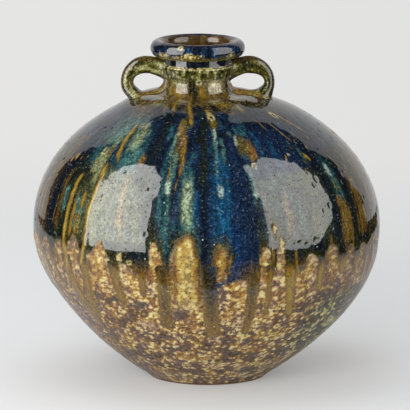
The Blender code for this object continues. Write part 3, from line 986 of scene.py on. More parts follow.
    def neck_colour(self, wash: Array, skin: SkinPoints, runs: Array) -> Array:
        """Lays the neck's glaze over the body's: olive runs, a speckled collar, a black groove that is dark
        glaze with painted shade under the lip, and painted highlights where the soft boxes shine on the
        neck.

        Args:
            wash: The colours so far.
            skin: The points.
            runs: How light each run on the neck is.

        Returns:
            The colours with the neck's.
        """
        rise, fine = skin.neck_rise, FINE_NOISE.layered(skin.points, 2.6, 2)
        collar, ledge = FORM.collar_rise / MM, (FORM.ledge - FORM.seat) / MM
        olive = ramp(0.34 + 0.55 * runs + 0.2 * fine, NECK_RUNS)
        wash = blend(wash, olive, smoothstep(-7.5, -1.0, rise + 4.0 * runs))
        speckled = ramp(0.46 + 0.3 * runs + 0.5 * fine, COLLAR_SPECKS)
        wash = blend(wash, speckled, smoothstep(collar - 0.6, collar + 0.6, rise))
        rim = band(rise, (ledge - 1.7, ledge - 0.7), (ledge, ledge + 0.6))
        wash = lay(wash, CREAM, 0.9 * rim * smoothstep(-0.6, 0.1, fine + 0.5 * runs))
        wash = lay(wash, MOSS, 0.7 * bell(rise, collar, 0.5))
        # The groove's black is partly its dark glaze and partly painted shade under the lip.
        wash = lay(wash, NIGHT, 0.97 * smoothstep(ledge + 0.1, ledge + 0.9, rise))
        # Painted highlights: bisque on the right and sage on the left of the neck's front, where the soft
        # boxes shine on it.
        lit = band(rise, (0.5, 3.0), (9.0, 11.0)) * smoothstep(-1.0, 0.2, runs)
        wash = lay(wash, BISQUE, 0.72 * lit * bell(skin.azimuth, 33.0, 15.0))
        return lay(wash, SAGE, 0.6 * lit * bell(skin.azimuth, -36.0, 16.0))

    def amber_cover(self, skin: SkinPoints, edge: MeltEdge, neck_runs: Array) -> Array:
        """Where amber breaks through the runs.

        Args:
            skin: The points.
            edge: Where the melt ends.
            neck_runs: How light each run on the neck is.

        Returns:
            How thick the amber is, from 0 to about 1.
        """
        lines = np.max([line.cover(skin.flow, skin.height, skin.radius) for line in LINES], axis=0)
        lines = lines * (0.86 + 0.22 * skin.streak + 0.2 * skin.grainy)
        wild = NOISE.smooth(skin.place + 57.0, 3.6) + 0.4 * FINE_NOISE.smooth(skin.place + 5.0, 1.8)
        wild += 0.22 * smoothstep(34, 56, skin.side) + 0.2 * smoothstep(72, 84, skin.side)
        wild = smoothstep(0.4, 1.1, wild) * band(skin.height, (96, 112), (168, 200))
        wild = wild * smoothstep(22, 36, skin.side)
        rust = 1 - smoothstep(0.0, 2.6, edge.above + 0.8 * skin.grainy)
        rust = rust * smoothstep(84, 96, skin.height) * smoothstep(-0.6, 0.2, skin.streak)
        smeared = smoothstep(-0.6, 1.4, edge.dripping) * (1 - smoothstep(92, 106, skin.height))
        golden = 0.14 * band(skin.azimuth, (12, 22), (50, 60)) + 0.1 * smoothstep(0.0, 3.2, edge.dripping)
        drips = (0.44 + golden - 0.34 * edge.core) * smeared * (1 - 0.6 * edge.blue)
        neck = band(skin.neck_rise, (-4, 0), (3, 9)) * (1 - smoothstep(40, 75, skin.side))
        neck = neck * smoothstep(-0.5, 0.3, neck_runs + 0.3 * skin.grainy)
        return np.max([lines, 0.8 * wild, 0.55 * rust, drips, 0.62 * neck], axis=0)

    def bubbles(self, skin: SkinPoints) -> Bubbles:
        """The burst bubbles: the large ones listed, and small ones scattered over the runs."""
        rim, pit = np.zeros(skin.azimuth.shape), np.zeros(skin.azimuth.shape)
        for crater in CRATERS:
            distance = crater.distance(skin.azimuth, skin.height, skin.radius, 1.15)
            rim = np.maximum(rim, bell(distance, 1.0, 0.45))
            pit = np.maximum(pit, 1 - smoothstep(0.35, 0.75, distance))
        hole, draw = NOISE.cells(skin.points + 31.0, self.bubble_grain)
        size = 0.07 + 0.16 * smoothstep(self.bubble_share, 1.0, draw)
        burst = (1 - smoothstep(size, size + 0.06, hole + 0.05 * skin.grainy)) * (draw > self.bubble_share)
        return Bubbles(rim, np.maximum(pit, 0.9 * burst * band(skin.height, (96, 110), (186, 196))))

    def crust_grains(self, skin: SkinPoints) -> tuple[Array, Array]:
        """The crust's lumps, large and joined on top, small and bald in places further down, with painted
        shade on the crust's two sides.

        Args:
            skin: The points.

        Returns:
            How much each point is the pale middle of a lump, with the painted shade on the sides, and how
            cool its colour is.
        """
        points = skin.points
        bent = np.stack([FINE_NOISE.smooth(points + 17.0 * k, 3.4) for k in range(3)], axis=-1)
        grains = tall(points, 1.35) + 0.9 * bent
        coarse, tone = NOISE.cells(grains, self.crust_grain)
        small, small_tone = FINE_NOISE.cells(grains, self.fine_grain)
        high = smoothstep(58, 88, skin.height)
        large = (1 - smoothstep(0.1, 0.66, coarse)) * smoothstep(0.2, 0.5, tone) * (0.35 + 0.65 * high)
        fine = (1 - smoothstep(0.1, 0.7, small)) * smoothstep(0.08, 0.4, small_tone) * (1 - 0.35 * high)
        patch = NOISE.layered(points + 5.0, 15.0, 2)
        cool = 0.5 + 0.55 * NOISE.layered(points + 40.0, 11.0, 2) + 0.25 * (tone - 0.5)
        aside = np.degrees(np.arctan2(points[..., 0], -points[..., 1]))
        # Painted shade: the crust is darkened on the right side above about 50 mm and on the left side all
        # the way down.
        shade = 1 - 0.38 * smoothstep(24, 46, aside) * smoothstep(46, 66, skin.height)
        shade -= 0.34 * smoothstep(26, 46, -aside)
        bald = smoothstep(0.12, 0.42, NOISE.layered(tall(points, 1.5) + 70.0, 13.0, 2)) * (1 - high)
        level = 0.16 + 0.76 * np.maximum(large, fine) + 0.2 * patch + 0.06 * high - 0.36 * bald
        return np.clip(level * shade, 0.0, 1.0), np.clip(cool, 0.0, 1.0)

    def golden_crust(self, skin: SkinPoints) -> Array:
        """Where the crust turns to gold: near the runs, and further down under the front column."""
        upper = smoothstep(84, 98, skin.height) * (0.3 + 0.7 * bell(skin.azimuth, -2.0, 11.0, 4))
        return np.maximum(upper, 0.8 * smoothstep(62, 76, skin.height) * bell(skin.flow, -6.0, 6.0, 4))

    def sunk(self, skin: SkinPoints, fields: GlazeFields, dripping: Array, bubbles: Bubbles) -> Array:
        """How far the surface lies under the form's outline.

        Args:
            skin: The points.
            fields: The glaze on them.
            dripping: How deep in a drip each point is.
            bubbles: The burst bubbles.

        Returns:
            Millimetres, 0 or more. The melt stands proud where it drips and runs, and pits go in.
        """
        points, place = skin.points, skin.place
        swells = 0.20 * NOISE.layered(points, 60.0, 2) + 0.034 * FINE_NOISE.smooth(points, 6.0)
        swells += 0.035 * NOISE.smooth(place + 88.0, 5.0) + 0.026 * NOISE.smooth(points, 3.2)
        rings = np.stack([0.2 * skin.flow, 0 * skin.flow, skin.arc], axis=-1)
        relief = self.glaze_depth + swells + 0.035 * NOISE.smooth(rings, 7.5)
        relief -= 0.30 * smoothstep(0.0, 2.6, dripping) * (1 - smoothstep(84, 100, skin.height))
        relief -= 0.12 * smoothstep(0.4, 0.7, fields.amber)
        relief += smoothstep(0.46, 0.6, fields.crust) * (0.22 - 0.36 * fields.blob)
        return np.clip(relief + 0.42 * bubbles.pit - 0.16 * bubbles.rim, 0.0, None)

    def on_skin(self, skin: SkinPoints) -> tuple[GlazeFields, Array]:
        """The whole glaze of the thrown skin.

        Args:
            skin: The points.

        Returns:
            The fields, and how many millimetres the surface lies under the form's outline.
        """
        edge, runs, bubbles = self.melt_edge(skin), self.neck_runs(skin), self.bubbles(skin)
        wash = self.toe_colour(self.wash_colour(skin), skin, edge)
        wash = self.neck_colour(self.darken_toward_neck(wash, skin), skin, runs)
        wash = lay(lay(wash, CREAM, 0.65 * bubbles.rim), BLACK_GREEN, 0.9 * bubbles.pit)
        blob, tone = self.crust_grains(skin)
        fields = GlazeFields(
            wash=wash,
            place=skin.place,
            amber=self.amber_cover(skin, edge, runs) * (1 - bubbles.rim),
            crust=self.crust_cover(skin, edge),
            gold=self.golden_crust(skin),
            blob=np.clip(blob + 0.6 * bubbles.rim - 0.9 * bubbles.pit, 0.0, 1.0),
            tone=tone,
            green=band(skin.azimuth, (32, 48), (66, 82)) * band(skin.height, (18, 36), (64, 84)),
            bare=np.zeros(skin.azimuth.shape),
        )
        return fields, self.sunk(skin, fields, edge.dripping, bubbles)


GLAZE = GlazeMap()


class NodeBench:
    """Lays out one node tree, of a material or of the world."""

    def __init__(self, owner: bpy.types.ID, output: str = "ShaderNodeOutputMaterial") -> None:
        """Clears the tree down to an output.

        Args:
            owner: The material or world to fill.
            output: The kind of its output node.
        """
        owner.use_nodes = True
        self.tree = owner.node_tree
        self.tree.nodes.clear()
        self.output = self.tree.nodes.new(output)

    def node(self, kind: str, **settings: object) -> bpy.types.Node:
        """Adds a node and sets its properties."""
        made = self.tree.nodes.new(kind)
        for name, value in settings.items():
            setattr(made, name, value)
        return made

    def feed(self, socket: Socket, value: object) -> None:
        """Links a socket to another, or sets its own value."""
        if isinstance(value, Socket):
            self.tree.links.new(value, socket)
        elif isinstance(value, Tint):
            socket.default_value = (*value, 1.0)
        else:
            socket.default_value = value

    def fed(self, kind: str, inputs: dict[int | str, object], **settings: object) -> bpy.types.Node:
        """Adds a node with its inputs linked or set.

        Args:
            kind: The kind of node.
            inputs: What each input gets, by its name or number.
            settings: The node's own properties.

        Returns:
            The new node.
        """
        made = self.node(kind, **settings)
        for name, value in inputs.items():
            self.feed(made.inputs[name], value)
        return made

    def finish(self, shader: Socket) -> None:
        """Ends the tree with a shader."""
        self.feed(self.output.inputs[0], shader)

    def attribute(self, name: str) -> bpy.types.Node:
        """Reads a field that the mesh carries."""
        return self.node("ShaderNodeAttribute", attribute_name=name)

    def split(self, colour: Socket) -> bpy.types.NodeOutputs:
        """A colour's three channels."""
        return self.fed("ShaderNodeSeparateColor", {0: colour}).outputs

    def maths(self, kind: str, *values: object) -> Socket:
        """One sum on numbers."""
        return self.fed("ShaderNodeMath", dict(enumerate(values)), operation=kind).outputs[0]

    def times(self, first: object, second: object) -> Socket:
        """One number times another."""
        return self.maths("MULTIPLY", first, second)

    def scaled(self, value: object, gain: object, start: object) -> Socket:
        """A number times gain, added to start."""
        return self.maths("MULTIPLY_ADD", value, gain, start)

    def step(self, value: object, low: float, high: float) -> Socket:
        """A soft step from 0 at low to 1 at high. Low may be the larger."""
        inputs = {"Value": value, "From Min": low, "From Max": high}
        return self.fed("ShaderNodeMapRange", inputs, interpolation_type="SMOOTHSTEP").outputs[0]

    def mottle(self, vector: object, size: float, detail: float = 2.0, rough: float = 0.55) -> Socket:
        """Noise with swells of a size in millimetres, about 0 to 1."""
        inputs = {"Vector": vector, "Scale": 1 / (size * MM), "Detail": detail, "Roughness": rough}
        return self.fed("ShaderNodeTexNoise", inputs).outputs["Fac"]

    def swing(self, vector: object, size: float, detail: float, rough: float) -> Socket:
        """The same noise, as much below zero as above it."""
        return self.maths("SUBTRACT", self.mottle(vector, size, detail, rough), 0.5)

    def spots(
        self, vector: object, size: float, channel: int, chosen: Pair, edge: Pair
    ) -> Socket:
        """Round spots in some of the cells that fill the space.

        Args:
            vector: Where to read.
            size: The width of a cell in millimetres.
            channel: Which channel of a cell's own colour says whether it has a spot.
            chosen: The channel's values between which spots come in.
            edge: Where a spot fades out and where it is whole, as distances in cell widths.

        Returns:
            How much each place is in a spot.
        """
        cells = self.fed("ShaderNodeTexVoronoi", {"Vector": vector, "Scale": 1 / (size * MM)})
        kept = self.step(self.split(cells.outputs["Color"])[channel], *chosen)
        return self.times(self.step(cells.outputs["Distance"], *edge), kept)

    def mix(self, under: object, over: object, cover: object) -> Socket:
        """Lays one colour over another."""
        made = self.fed("ShaderNodeMix", {0: cover, 6: under, 7: over}, data_type="RGBA")
        return made.outputs[2]

    def colour_ramp(self, value: object, stops: Stops) -> Socket:
        """A colour read from a row of stops."""
        made = self.fed("ShaderNodeValToRGB", {0: value})
        elements = made.color_ramp.elements
        while len(elements) < len(stops):
            elements.new(0.5)
        for element, (place, tint) in zip(elements, stops):
            element.position = place
            element.color = (*tint, 1.0)
        return made.outputs[0]

    def shader_mix(self, cover: object, under: bpy.types.Node, over: bpy.types.Node) -> bpy.types.Node:
        """One shader in place of another, as far as cover says."""
        return self.fed("ShaderNodeMixShader", {0: cover, 1: under.outputs[0], 2: over.outputs[0]})


@dataclass(frozen=True)
class GlazeFinish:
    """A run glaze that breaks into crust, with its specks, flecks and gloss. Sizes are in millimetres."""

    name: str
    flow_scale: float = 1.9
    streak_size: float = 3.0
    mottle_size: float = 1.5
    contrast: float = 0.6
    dot_size: float = 2.6
    speck_size: float = 1.9
    speck_cover: float = 0.85
    fleck: Tint = MILK
    fleck_gain: float = 3.0
    fleck_cover: float = 0.75
    roughness: float = 0.05
    crust_roughness: float = 0.24
    clay_roughness: float = 0.45
    pinhole_size: float = 2.1
    pit_depth: float = 0.14
    burst_size: float = 2.3
    burst_depth: float = 0.22
    ripple_size: float = 3.6
    ripple: float = 0.02
    grit_size: float = 0.9
    grit: float = 0.3
    refraction: float = 1.55

    def make(self) -> bpy.types.Material:
        """Builds the material.

        Returns:
            The finished material.
        """
        material = bpy.data.materials.new(self.name)
        bench = NodeBench(material)
        solid = bench.node("ShaderNodeTexCoord").outputs["Object"]
        marks = bench.split(bench.attribute("marks").outputs["Color"])
        bare = bench.attribute("bare").outputs["Fac"]
        crust_level = bench.scaled(bench.swing(solid, 2.0, 4.0, 0.7), 0.55, marks[1])
        crust = bench.step(crust_level, 0.44, 0.56)
        pits = bench.spots(solid, self.pinhole_size, 0, (0.36, 0.42), (0.32, 0.16))

        crusted = self._crust(bench, solid, crust_level, marks[2], pits)
        colour = bench.mix(self._runs(bench, solid, marks[0]), crusted, crust)
        colour = self._speckled(bench, solid, colour)
        clay = bench.mix(CLAY, UMBER, bench.mottle(solid, 2.2, 3.0))
        haze = bench.step(bench.mottle(solid, 5.0, 3.0, 0.6), 0.3, 0.7)
        uneven = bench.scaled(bench.mottle(solid, 3.0), 0.04, self.roughness - 0.02)
        rougher = bench.scaled(crust, self.crust_roughness - self.roughness, uneven)
        shader = bench.fed(
            "ShaderNodeBsdfPrincipled",
            {
                "Base Color": bench.mix(colour, clay, bare),
                "IOR": self.refraction,
                "Specular IOR Level": bench.scaled(crust, -0.14, bench.scaled(haze, 0.14, 0.42)),
                "Roughness": bench.scaled(bare, self.clay_roughness, rougher),
                "Normal": self._surface(bench, solid, crust, pits),
            },
        )
        bench.finish(shader.outputs[0])
        return material

    def _runs(self, bench: NodeBench, solid: object, amber: object) -> Socket:
        """The melted glaze: mottled light and milky flecks on the wash, with ragged amber over it.

        Args:
            bench: The material's nodes.
            solid: The coordinates of the solid.
            amber: How thick the amber is.

        Returns:
            The colour.
        """
        place = bench.attribute("run_place").outputs["Vector"]
        wash = bench.attribute("wash").outputs["Color"]
        stretched = {"Vector": place, "Scale": (1.0, 1.0, self.flow_scale)}
        flow = bench.fed("ShaderNodeMapping", stretched).outputs[0]
        fine = bench.mottle(solid, self.mottle_size, 2.0, 0.7)
        both = bench.scaled(bench.mottle(flow, self.streak_size, 4.0, 0.7), 0.4, bench.times(fine, 0.6))
        light = bench.scaled(bench.step(both, 0.38, 0.62), 2.0 * self.contrast, 1 - self.contrast)
        shade = bench.fed("ShaderNodeVectorMath", {0: wash, "Scale": light}, operation="SCALE")
        milky = bench.step(bench.mottle(solid, self.mottle_size, 2.0, 0.6), 0.56, 0.74)
        glow = bench.times(milky, bench.times(bench.split(wash)[1], self.fleck_gain))
        melt = bench.mix(shade.outputs[0], self.fleck, bench.maths("MINIMUM", glow, self.fleck_cover))
        ragged = bench.scaled(bench.swing(flow, 2.0, 4.0, 0.7), 0.85, amber)
        cover = bench.times(bench.step(ragged, 0.22, 0.56), 0.92)
        return bench.mix(melt, bench.colour_ramp(ragged, AMBER_RUNS), cover)

    def _speckled(self, bench: NodeBench, solid: object, colour: object) -> Socket:
        """The colour with the few bright specks and the black ones that lie in all the glaze."""
        bright = bench.spots(solid, self.dot_size, 0, (0.965, 0.98), (0.26, 0.14))
        dark = bench.spots(solid, self.speck_size, 1, (0.2, 0.3), (0.34, 0.14))
        colour = bench.mix(colour, self.fleck, bench.times(bright, 0.85))
        return bench.mix(colour, BLACK_GREEN, bench.times(dark, self.speck_cover))

    def _crust(self, bench: NodeBench, solid: object, edge: object, gold: object, pits: object) -> object:
        """The crust's colour: warm and cool lumps, mossy in a part, gold in another, with pinholes.

        Args:
            bench: The material's nodes.
            solid: The coordinates of the solid.
            edge: How far in from the crust's edge each place is, 0.5 on it.
            gold: How much of the crust is gold.
            pits: How much each place is a pinhole.

        Returns:
            The colour's socket.
        """
        grain = bench.split(bench.attribute("grain").outputs["Color"])
        level = bench.scaled(bench.swing(solid, 2.6, 4.0, 0.7), 0.75, bench.scaled(grain[0], 0.9, 0.1))
        level = bench.scaled(bench.swing(solid, 1.1, 3.0, 0.65), 0.4, level)
        ramps = (WARM_CRUST, COOL_CRUST, MOSSY_CRUST)
        warm, cool, mossy = (bench.colour_ramp(level, stops) for stops in ramps)
        colour = bench.mix(warm, cool, bench.step(grain[1], 0.42, 0.72))
        colour = bench.mix(colour, mossy, bench.times(grain[2], 0.75))
        ringed = bench.scaled(bench.step(edge, 1.0, 0.8), 0.5, 0.46)
        colour = bench.mix(colour, bench.colour_ramp(edge, CRUST_RING), bench.times(ringed, gold))
        return bench.mix(colour, BLACK_GREEN, bench.times(pits, 0.9))

    def _surface(self, bench: NodeBench, solid: object, crust: object, pits: object) -> Socket:
        """The fine relief under the gloss: ripples in the melt, a rough crust and its pinholes."""
        ripple = bench.times(bench.mottle(solid, self.ripple_size, 2.0, 0.5), self.ripple)
        rough = bench.times(bench.mottle(solid, self.grit_size, 3.0, 0.6), crust)
        height = bench.scaled(rough, self.grit, ripple)
        height = bench.scaled(bench.times(pits, crust), -self.pit_depth, height)
        burst = bench.spots(solid, self.burst_size, 2, (0.4, 0.45), (0.24, 0.06))
        height = bench.scaled(burst, -self.burst_depth, height)
        return bench.fed("ShaderNodeBump", {"Distance": MM, "Strength": 1.0, "Height": height}).outputs[0]


def wheel(count: int) -> Array:
    """The azimuths in degrees of count columns round the pot, starting at the back."""
    return -180.0 + 360.0 * np.arange(count) / count


def turned(profile: Array, columns: int, sunk: Array | float = 0.0) -> Array:
    """Points of a turned surface, leaned with the pot.

    Args:
        profile: (radius, height) for each row, in metres.
        columns: How many columns it has, evenly round the pot.
        sunk: How far each point sinks into the wall, in metres, as rows by columns.

    Returns:
        Points as rows by columns by three.
    """
    facing = outward(profile)
    depth = sunk + np.zeros((len(profile), columns))
    radius = profile[:, :1] - facing[:, :1] * depth
    height = profile[:, 1:] - facing[:, 1:] * depth
    return FORM.stand(round_points(wheel(columns), radius, height))


def new_object(name: str, data: bpy.types.ID) -> bpy.types.Object:
    """An object in the scene that shows the data."""
    made = bpy.data.objects.new(name, data)
    bpy.context.scene.collection.objects.link(made)
    return made


def new_mesh(name: str, points: list, faces: list) -> bpy.types.Mesh:
    """A mesh of points and faces."""
    mesh = bpy.data.meshes.new(name)
    mesh.from_pydata(points, [], faces)
    return mesh


def loft(name: str, rows: list[Array], closed: bool) -> bpy.types.Object:
    """Joins rows of points into one closed skin.

    Args:
        name: The piece's name.
        rows: One array of points for each row. A row of one point is a pole.
        closed: Whether the last row joins the first.

    Returns:
        The new object, shaded smooth.
    """
    starts = np.cumsum([0] + [len(row) for row in rows])
    pairs = list(zip(range(len(rows)), range(1, len(rows))))
    faces = []
    for first, second in pairs + ([(len(rows) - 1, 0)] if closed else []):
        near, far = len(rows[first]), len(rows[second])
        this = np.arange(max(near, far))
        corners = [this % near, (this + 1) % near, (this + 1) % far, this % far]
        corners = [corner + start for corner, start in zip(corners, starts[[first, first, second, second]])]
        if near == 1 or far == 1:
            del corners[1 if near == 1 else 2]
        faces.extend(np.stack(corners, axis=1).tolist())
    mesh = new_mesh(name, np.concatenate(rows).tolist(), faces)
    mesh.update()
    mesh.shade_smooth()
    return new_object(name, mesh)


def carry(piece: bpy.types.Object, parts: list[GlazeFields]) -> None:
    """Writes the glaze's fields on a mesh, for its material to read.

    Args:
        piece: The object whose mesh carries them.
        parts: The fields of its surfaces, in the order of their vertices.
    """
    flats = [part.flat() for part in parts]

    def joined(*names: str) -> Array:
        """The named fields of all the surfaces, side by side as columns."""
        return np.column_stack([np.concatenate([getattr(part, name) for part in flats]) for name in names])

    packs = {"wash": joined("wash"), "marks": joined("amber", "crust", "gold")}
    packs["grain"] = joined("blob", "tone", "green")
    for name, pack in packs.items():
        attribute = piece.data.attributes.new(name, "FLOAT_COLOR", "POINT")
        solid = np.column_stack([pack, np.ones(len(pack))])
        attribute.data.foreach_set("color", solid.astype(np.float32).ravel())
    place = piece.data.attributes.new("run_place", "FLOAT_VECTOR", "POINT")
    place.data.foreach_set("vector", (joined("place") * MM).astype(np.float32).ravel())
    bare = piece.data.attributes.new("bare", "FLOAT", "POINT")
    bare.data.foreach_set("value", joined("bare").astype(np.float32).ravel())


def plain_fields(points: Array, wash: Array, bare: Array | float = 0.0) -> GlazeFields:
    """Fields of a surface with one glaze and no crust.

    Args:
        points: The surface's points in metres, with three numbers on the last axis.
        wash: The glaze's colour at each point.
        bare: How much of it is bare clay.

    Returns:
        The fields, each of the points' shape.
    """
    none = np.zeros(points.shape[:-1])
    place = tall(points / MM, 0.3)
    return GlazeFields(wash, place, none, none, none, none, none, none, bare + none)


def inside_fields(points: Array, bare: float = 0.0) -> GlazeFields:
    """Fields of the amber and olive glaze inside the vase, which darkens toward the floor."""
    return plain_fields(points, inside_wash(points), bare)


def inside_wash(points: Array) -> Array:
    """The colours of the glaze inside the vase, at points in metres."""
    value = 0.5 + 0.5 * NOISE.layered(tall(points / MM, 0.5), 6.0, 3)
    return lay(ramp(value, INSIDE_GLAZE), UMBER, 0.7 * smoothstep(0.20, 0.12, points[..., 2]))


@dataclass
class ThrownSkin:
    """The bowl, the shoulder and the neck, thrown apart and joined, under one melt of glaze."""

    columns: int = 704
    bowl_rows: int = 118
    dome_rows: int = 118
    neck_rows: int = 92
    inner_rows: int = 9
    curve_points: int = 900
    wall_points: int = 60
    foot_round: Pair = (0.0004, 0.0003)
    floor_round: Pair = (0.004, 0.0005)
    throat_ease: float = 0.001
    seat_fall: float = 0.0045
    mouth_bare: float = 0.14
    bowl: bpy.types.Object | None = None
    shoulder: bpy.types.Object | None = None
    neck: bpy.types.Object | None = None

    def outline(self) -> Array:
        """The whole outside, from the foot's edge up to the lip's seat, in rows."""
        dome = FORM.dome(self.curve_points)
        dome = dome[dome[:, 0] >= FORM.neck_foot_radius]
        dome = np.concatenate([dome, [[FORM.neck_foot_radius, FORM.seat]]])
        dome[:, 1] -= FORM.dip(dome[:, 0])
        bowl = even(FORM.bowl(self.curve_points), self.bowl_rows)
        neck = even(FORM.neck_side(), self.neck_rows)
        return np.concatenate([bowl, even(dome, self.dome_rows)[1:], neck[1:]])

    def build(self) -> None:
        """Makes the three pieces with their relief and the fields of their glaze."""
        line, azimuth = self.outline(), wheel(self.columns)
        arc = run_lengths(line) / MM
        columns = np.zeros(self.columns)
        radius, height = (line[:, axis, None] / MM + columns for axis in range(2))
        skin = GLAZE.locate(azimuth + 0 * height, height, arc[:, None] + columns, radius)
        fields, sunk = GLAZE.on_skin(skin)
        fields.bare = 1 - smoothstep(0.6, 2.0, skin.arc)
        end = arc[-1]
        coat = band(arc, (0.0, 6.0), (end - 5.0, end)) * (1 - 0.45 * smoothstep(end - 32.0, end - 24.0, arc))
        outer = turned(line, self.columns, sunk * coat[:, None] * MM)

        belly = self.bowl_rows - 1
        seat = belly + self.dome_rows - 1
        foot_rows = self._make_bowl(outer[: belly + 1], fields.taken(slice(0, belly + 1)))
        self._make_shoulder(outer[belly : seat + 1], fields.taken(slice(belly, seat + 1)))
        self._make_neck(outer[seat:], fields.taken(slice(seat, None)))
        at_belly, at_seat = (self._row_normals(outer, row) for row in (belly, seat))
        self._match(self.bowl, {1 + (foot_rows + belly) * self.columns: at_belly})
        self._match(self.shoulder, {0: at_belly, (seat - belly) * self.columns: at_seat})
        self._match(self.neck, {0: at_seat})

    def _make_bowl(self, skin: Array, fields: GlazeFields) -> int:
        """The bowl: foot ring and recess, outside, joint, inside and floor.

        Args:
            skin: The outside's points.
            fields: The glaze on them.

        Returns:
            How many rows the foot has under the outside.
        """
        ring_outside = FORM.foot_radius - FORM.foot_chamfer
        ring_inside = ring_outside - FORM.foot_ring_width
        foot = (
            (ring_inside - FORM.foot_recess_slope, FORM.foot_recess),
            (ring_inside, self.foot_round[1]),
            (ring_inside + self.foot_round[0], 0.0),
            (ring_outside, 0.0),
        )
        floor = FORM.foot_recess + FORM.floor_thickness
        inside = self._inside(FORM.bowl)
        inside[-1] = (FORM.belly_radius - FORM.wall, FORM.belly_height)
        inside = inside[inside[:, 1] > floor + self.floor_round[1]]
        inside = np.concatenate([[(inside[0, 0] - self.floor_round[0], floor)], inside])
        under = turned(np.array(foot), self.columns)
        within = turned(even(inside, self.inner_rows)[::-1], self.columns)
        bottom, middle = (np.array([[FORM.foot_lean, 0.0, height]]) for height in (FORM.foot_recess, floor))
        self.bowl = loft("bowl", [bottom, *under, *skin, *within, middle], closed=False)
        below = [inside_fields(bottom, 1.0), inside_fields(under, 1.0)]
        carry(self.bowl, [*below, fields, inside_fields(within), inside_fields(middle)])
        return len(foot)

    def _make_shoulder(self, skin: Array, fields: GlazeFields) -> None:
        """The shoulder: outside, the flat seat under the neck, the throat and the inside."""
        inside = self._inside(FORM.dome)
        inside[0] = (FORM.belly_radius - FORM.wall, FORM.belly_height)
        throat = (FORM.throat_radius, FORM.seat - FORM.wall)
        kept = (inside[:, 0] > FORM.throat_radius + self.throat_ease) & (inside[:, 1] < throat[1])
        inside = even(np.concatenate([inside[kept], [throat]]), self.inner_rows)[::-1]
        inside = np.concatenate([[(FORM.throat_radius, FORM.seat - self.seat_fall)], inside])
        within = turned(inside, self.columns)
        self.shoulder = loft("shoulder", [*skin, *within], closed=True)
        carry(self.shoulder, [fields, inside_fields(within)])

    def _make_neck(self, skin: Array, fields: GlazeFields) -> None:
        """The neck: outside, the lip's seat and the throat."""
        inner = (
            (FORM.groove_radius - FORM.neck_wall_at_lip, FORM.lip_seat),
            (FORM.throat_radius, FORM.ledge - FORM.collar_depth),
            (FORM.throat_radius, FORM.seat - self.seat_fall),
        )
        within = turned(even(soften(np.array(inner), 2), self.inner_rows), self.columns)
        self.neck = loft("neck", [*skin, *within], closed=True)
        carry(self.neck, [fields, inside_fields(within, self.mouth_bare)])

    def _inside(self, curve: Callable[[int], Array]) -> Array:
        """A piece's inside, one wall in from its outside."""
        outside = even(curve(5 * self.wall_points), self.wall_points)
        return outside - FORM.wall * outward(outside)

    def _row_normals(self, outer: Array, row: int) -> Array:
        """The normals of the whole skin along one of its rows."""
        across = np.roll(outer[row], -1, axis=0) - np.roll(outer[row], 1, axis=0)
        return unit(np.cross(across, outer[row + 1] - outer[row - 1]))

    def _match(self, piece: bpy.types.Object, rows: dict[int, Array]) -> None:
        """Gives a piece the whole skin's normals where it meets the next, so that the glaze runs over.

        Args:
            piece: The piece.
            rows: The normals of each shared row, by the vertex at which it starts.
        """
        normals = np.empty(len(piece.data.vertices) * 3, np.float32)
        piece.data.vertices.foreach_get("normal", normals)
        normals = normals.reshape(-1, 3)
        for start, shared in rows.items():
            normals[start : start + self.columns] = shared
        piece.data.normals_split_custom_set_from_vertices(normals.tolist())

    def dress(self) -> None:
        """Gives the pieces their glaze, which is one melt over all three."""
        slots = {"crusted_glaze": self.bowl, "blue_run_glaze": self.shoulder, "olive_glaze": self.neck}
        for slot, piece in slots.items():
            piece.data.materials.append(GlazeFinish(slot).make())


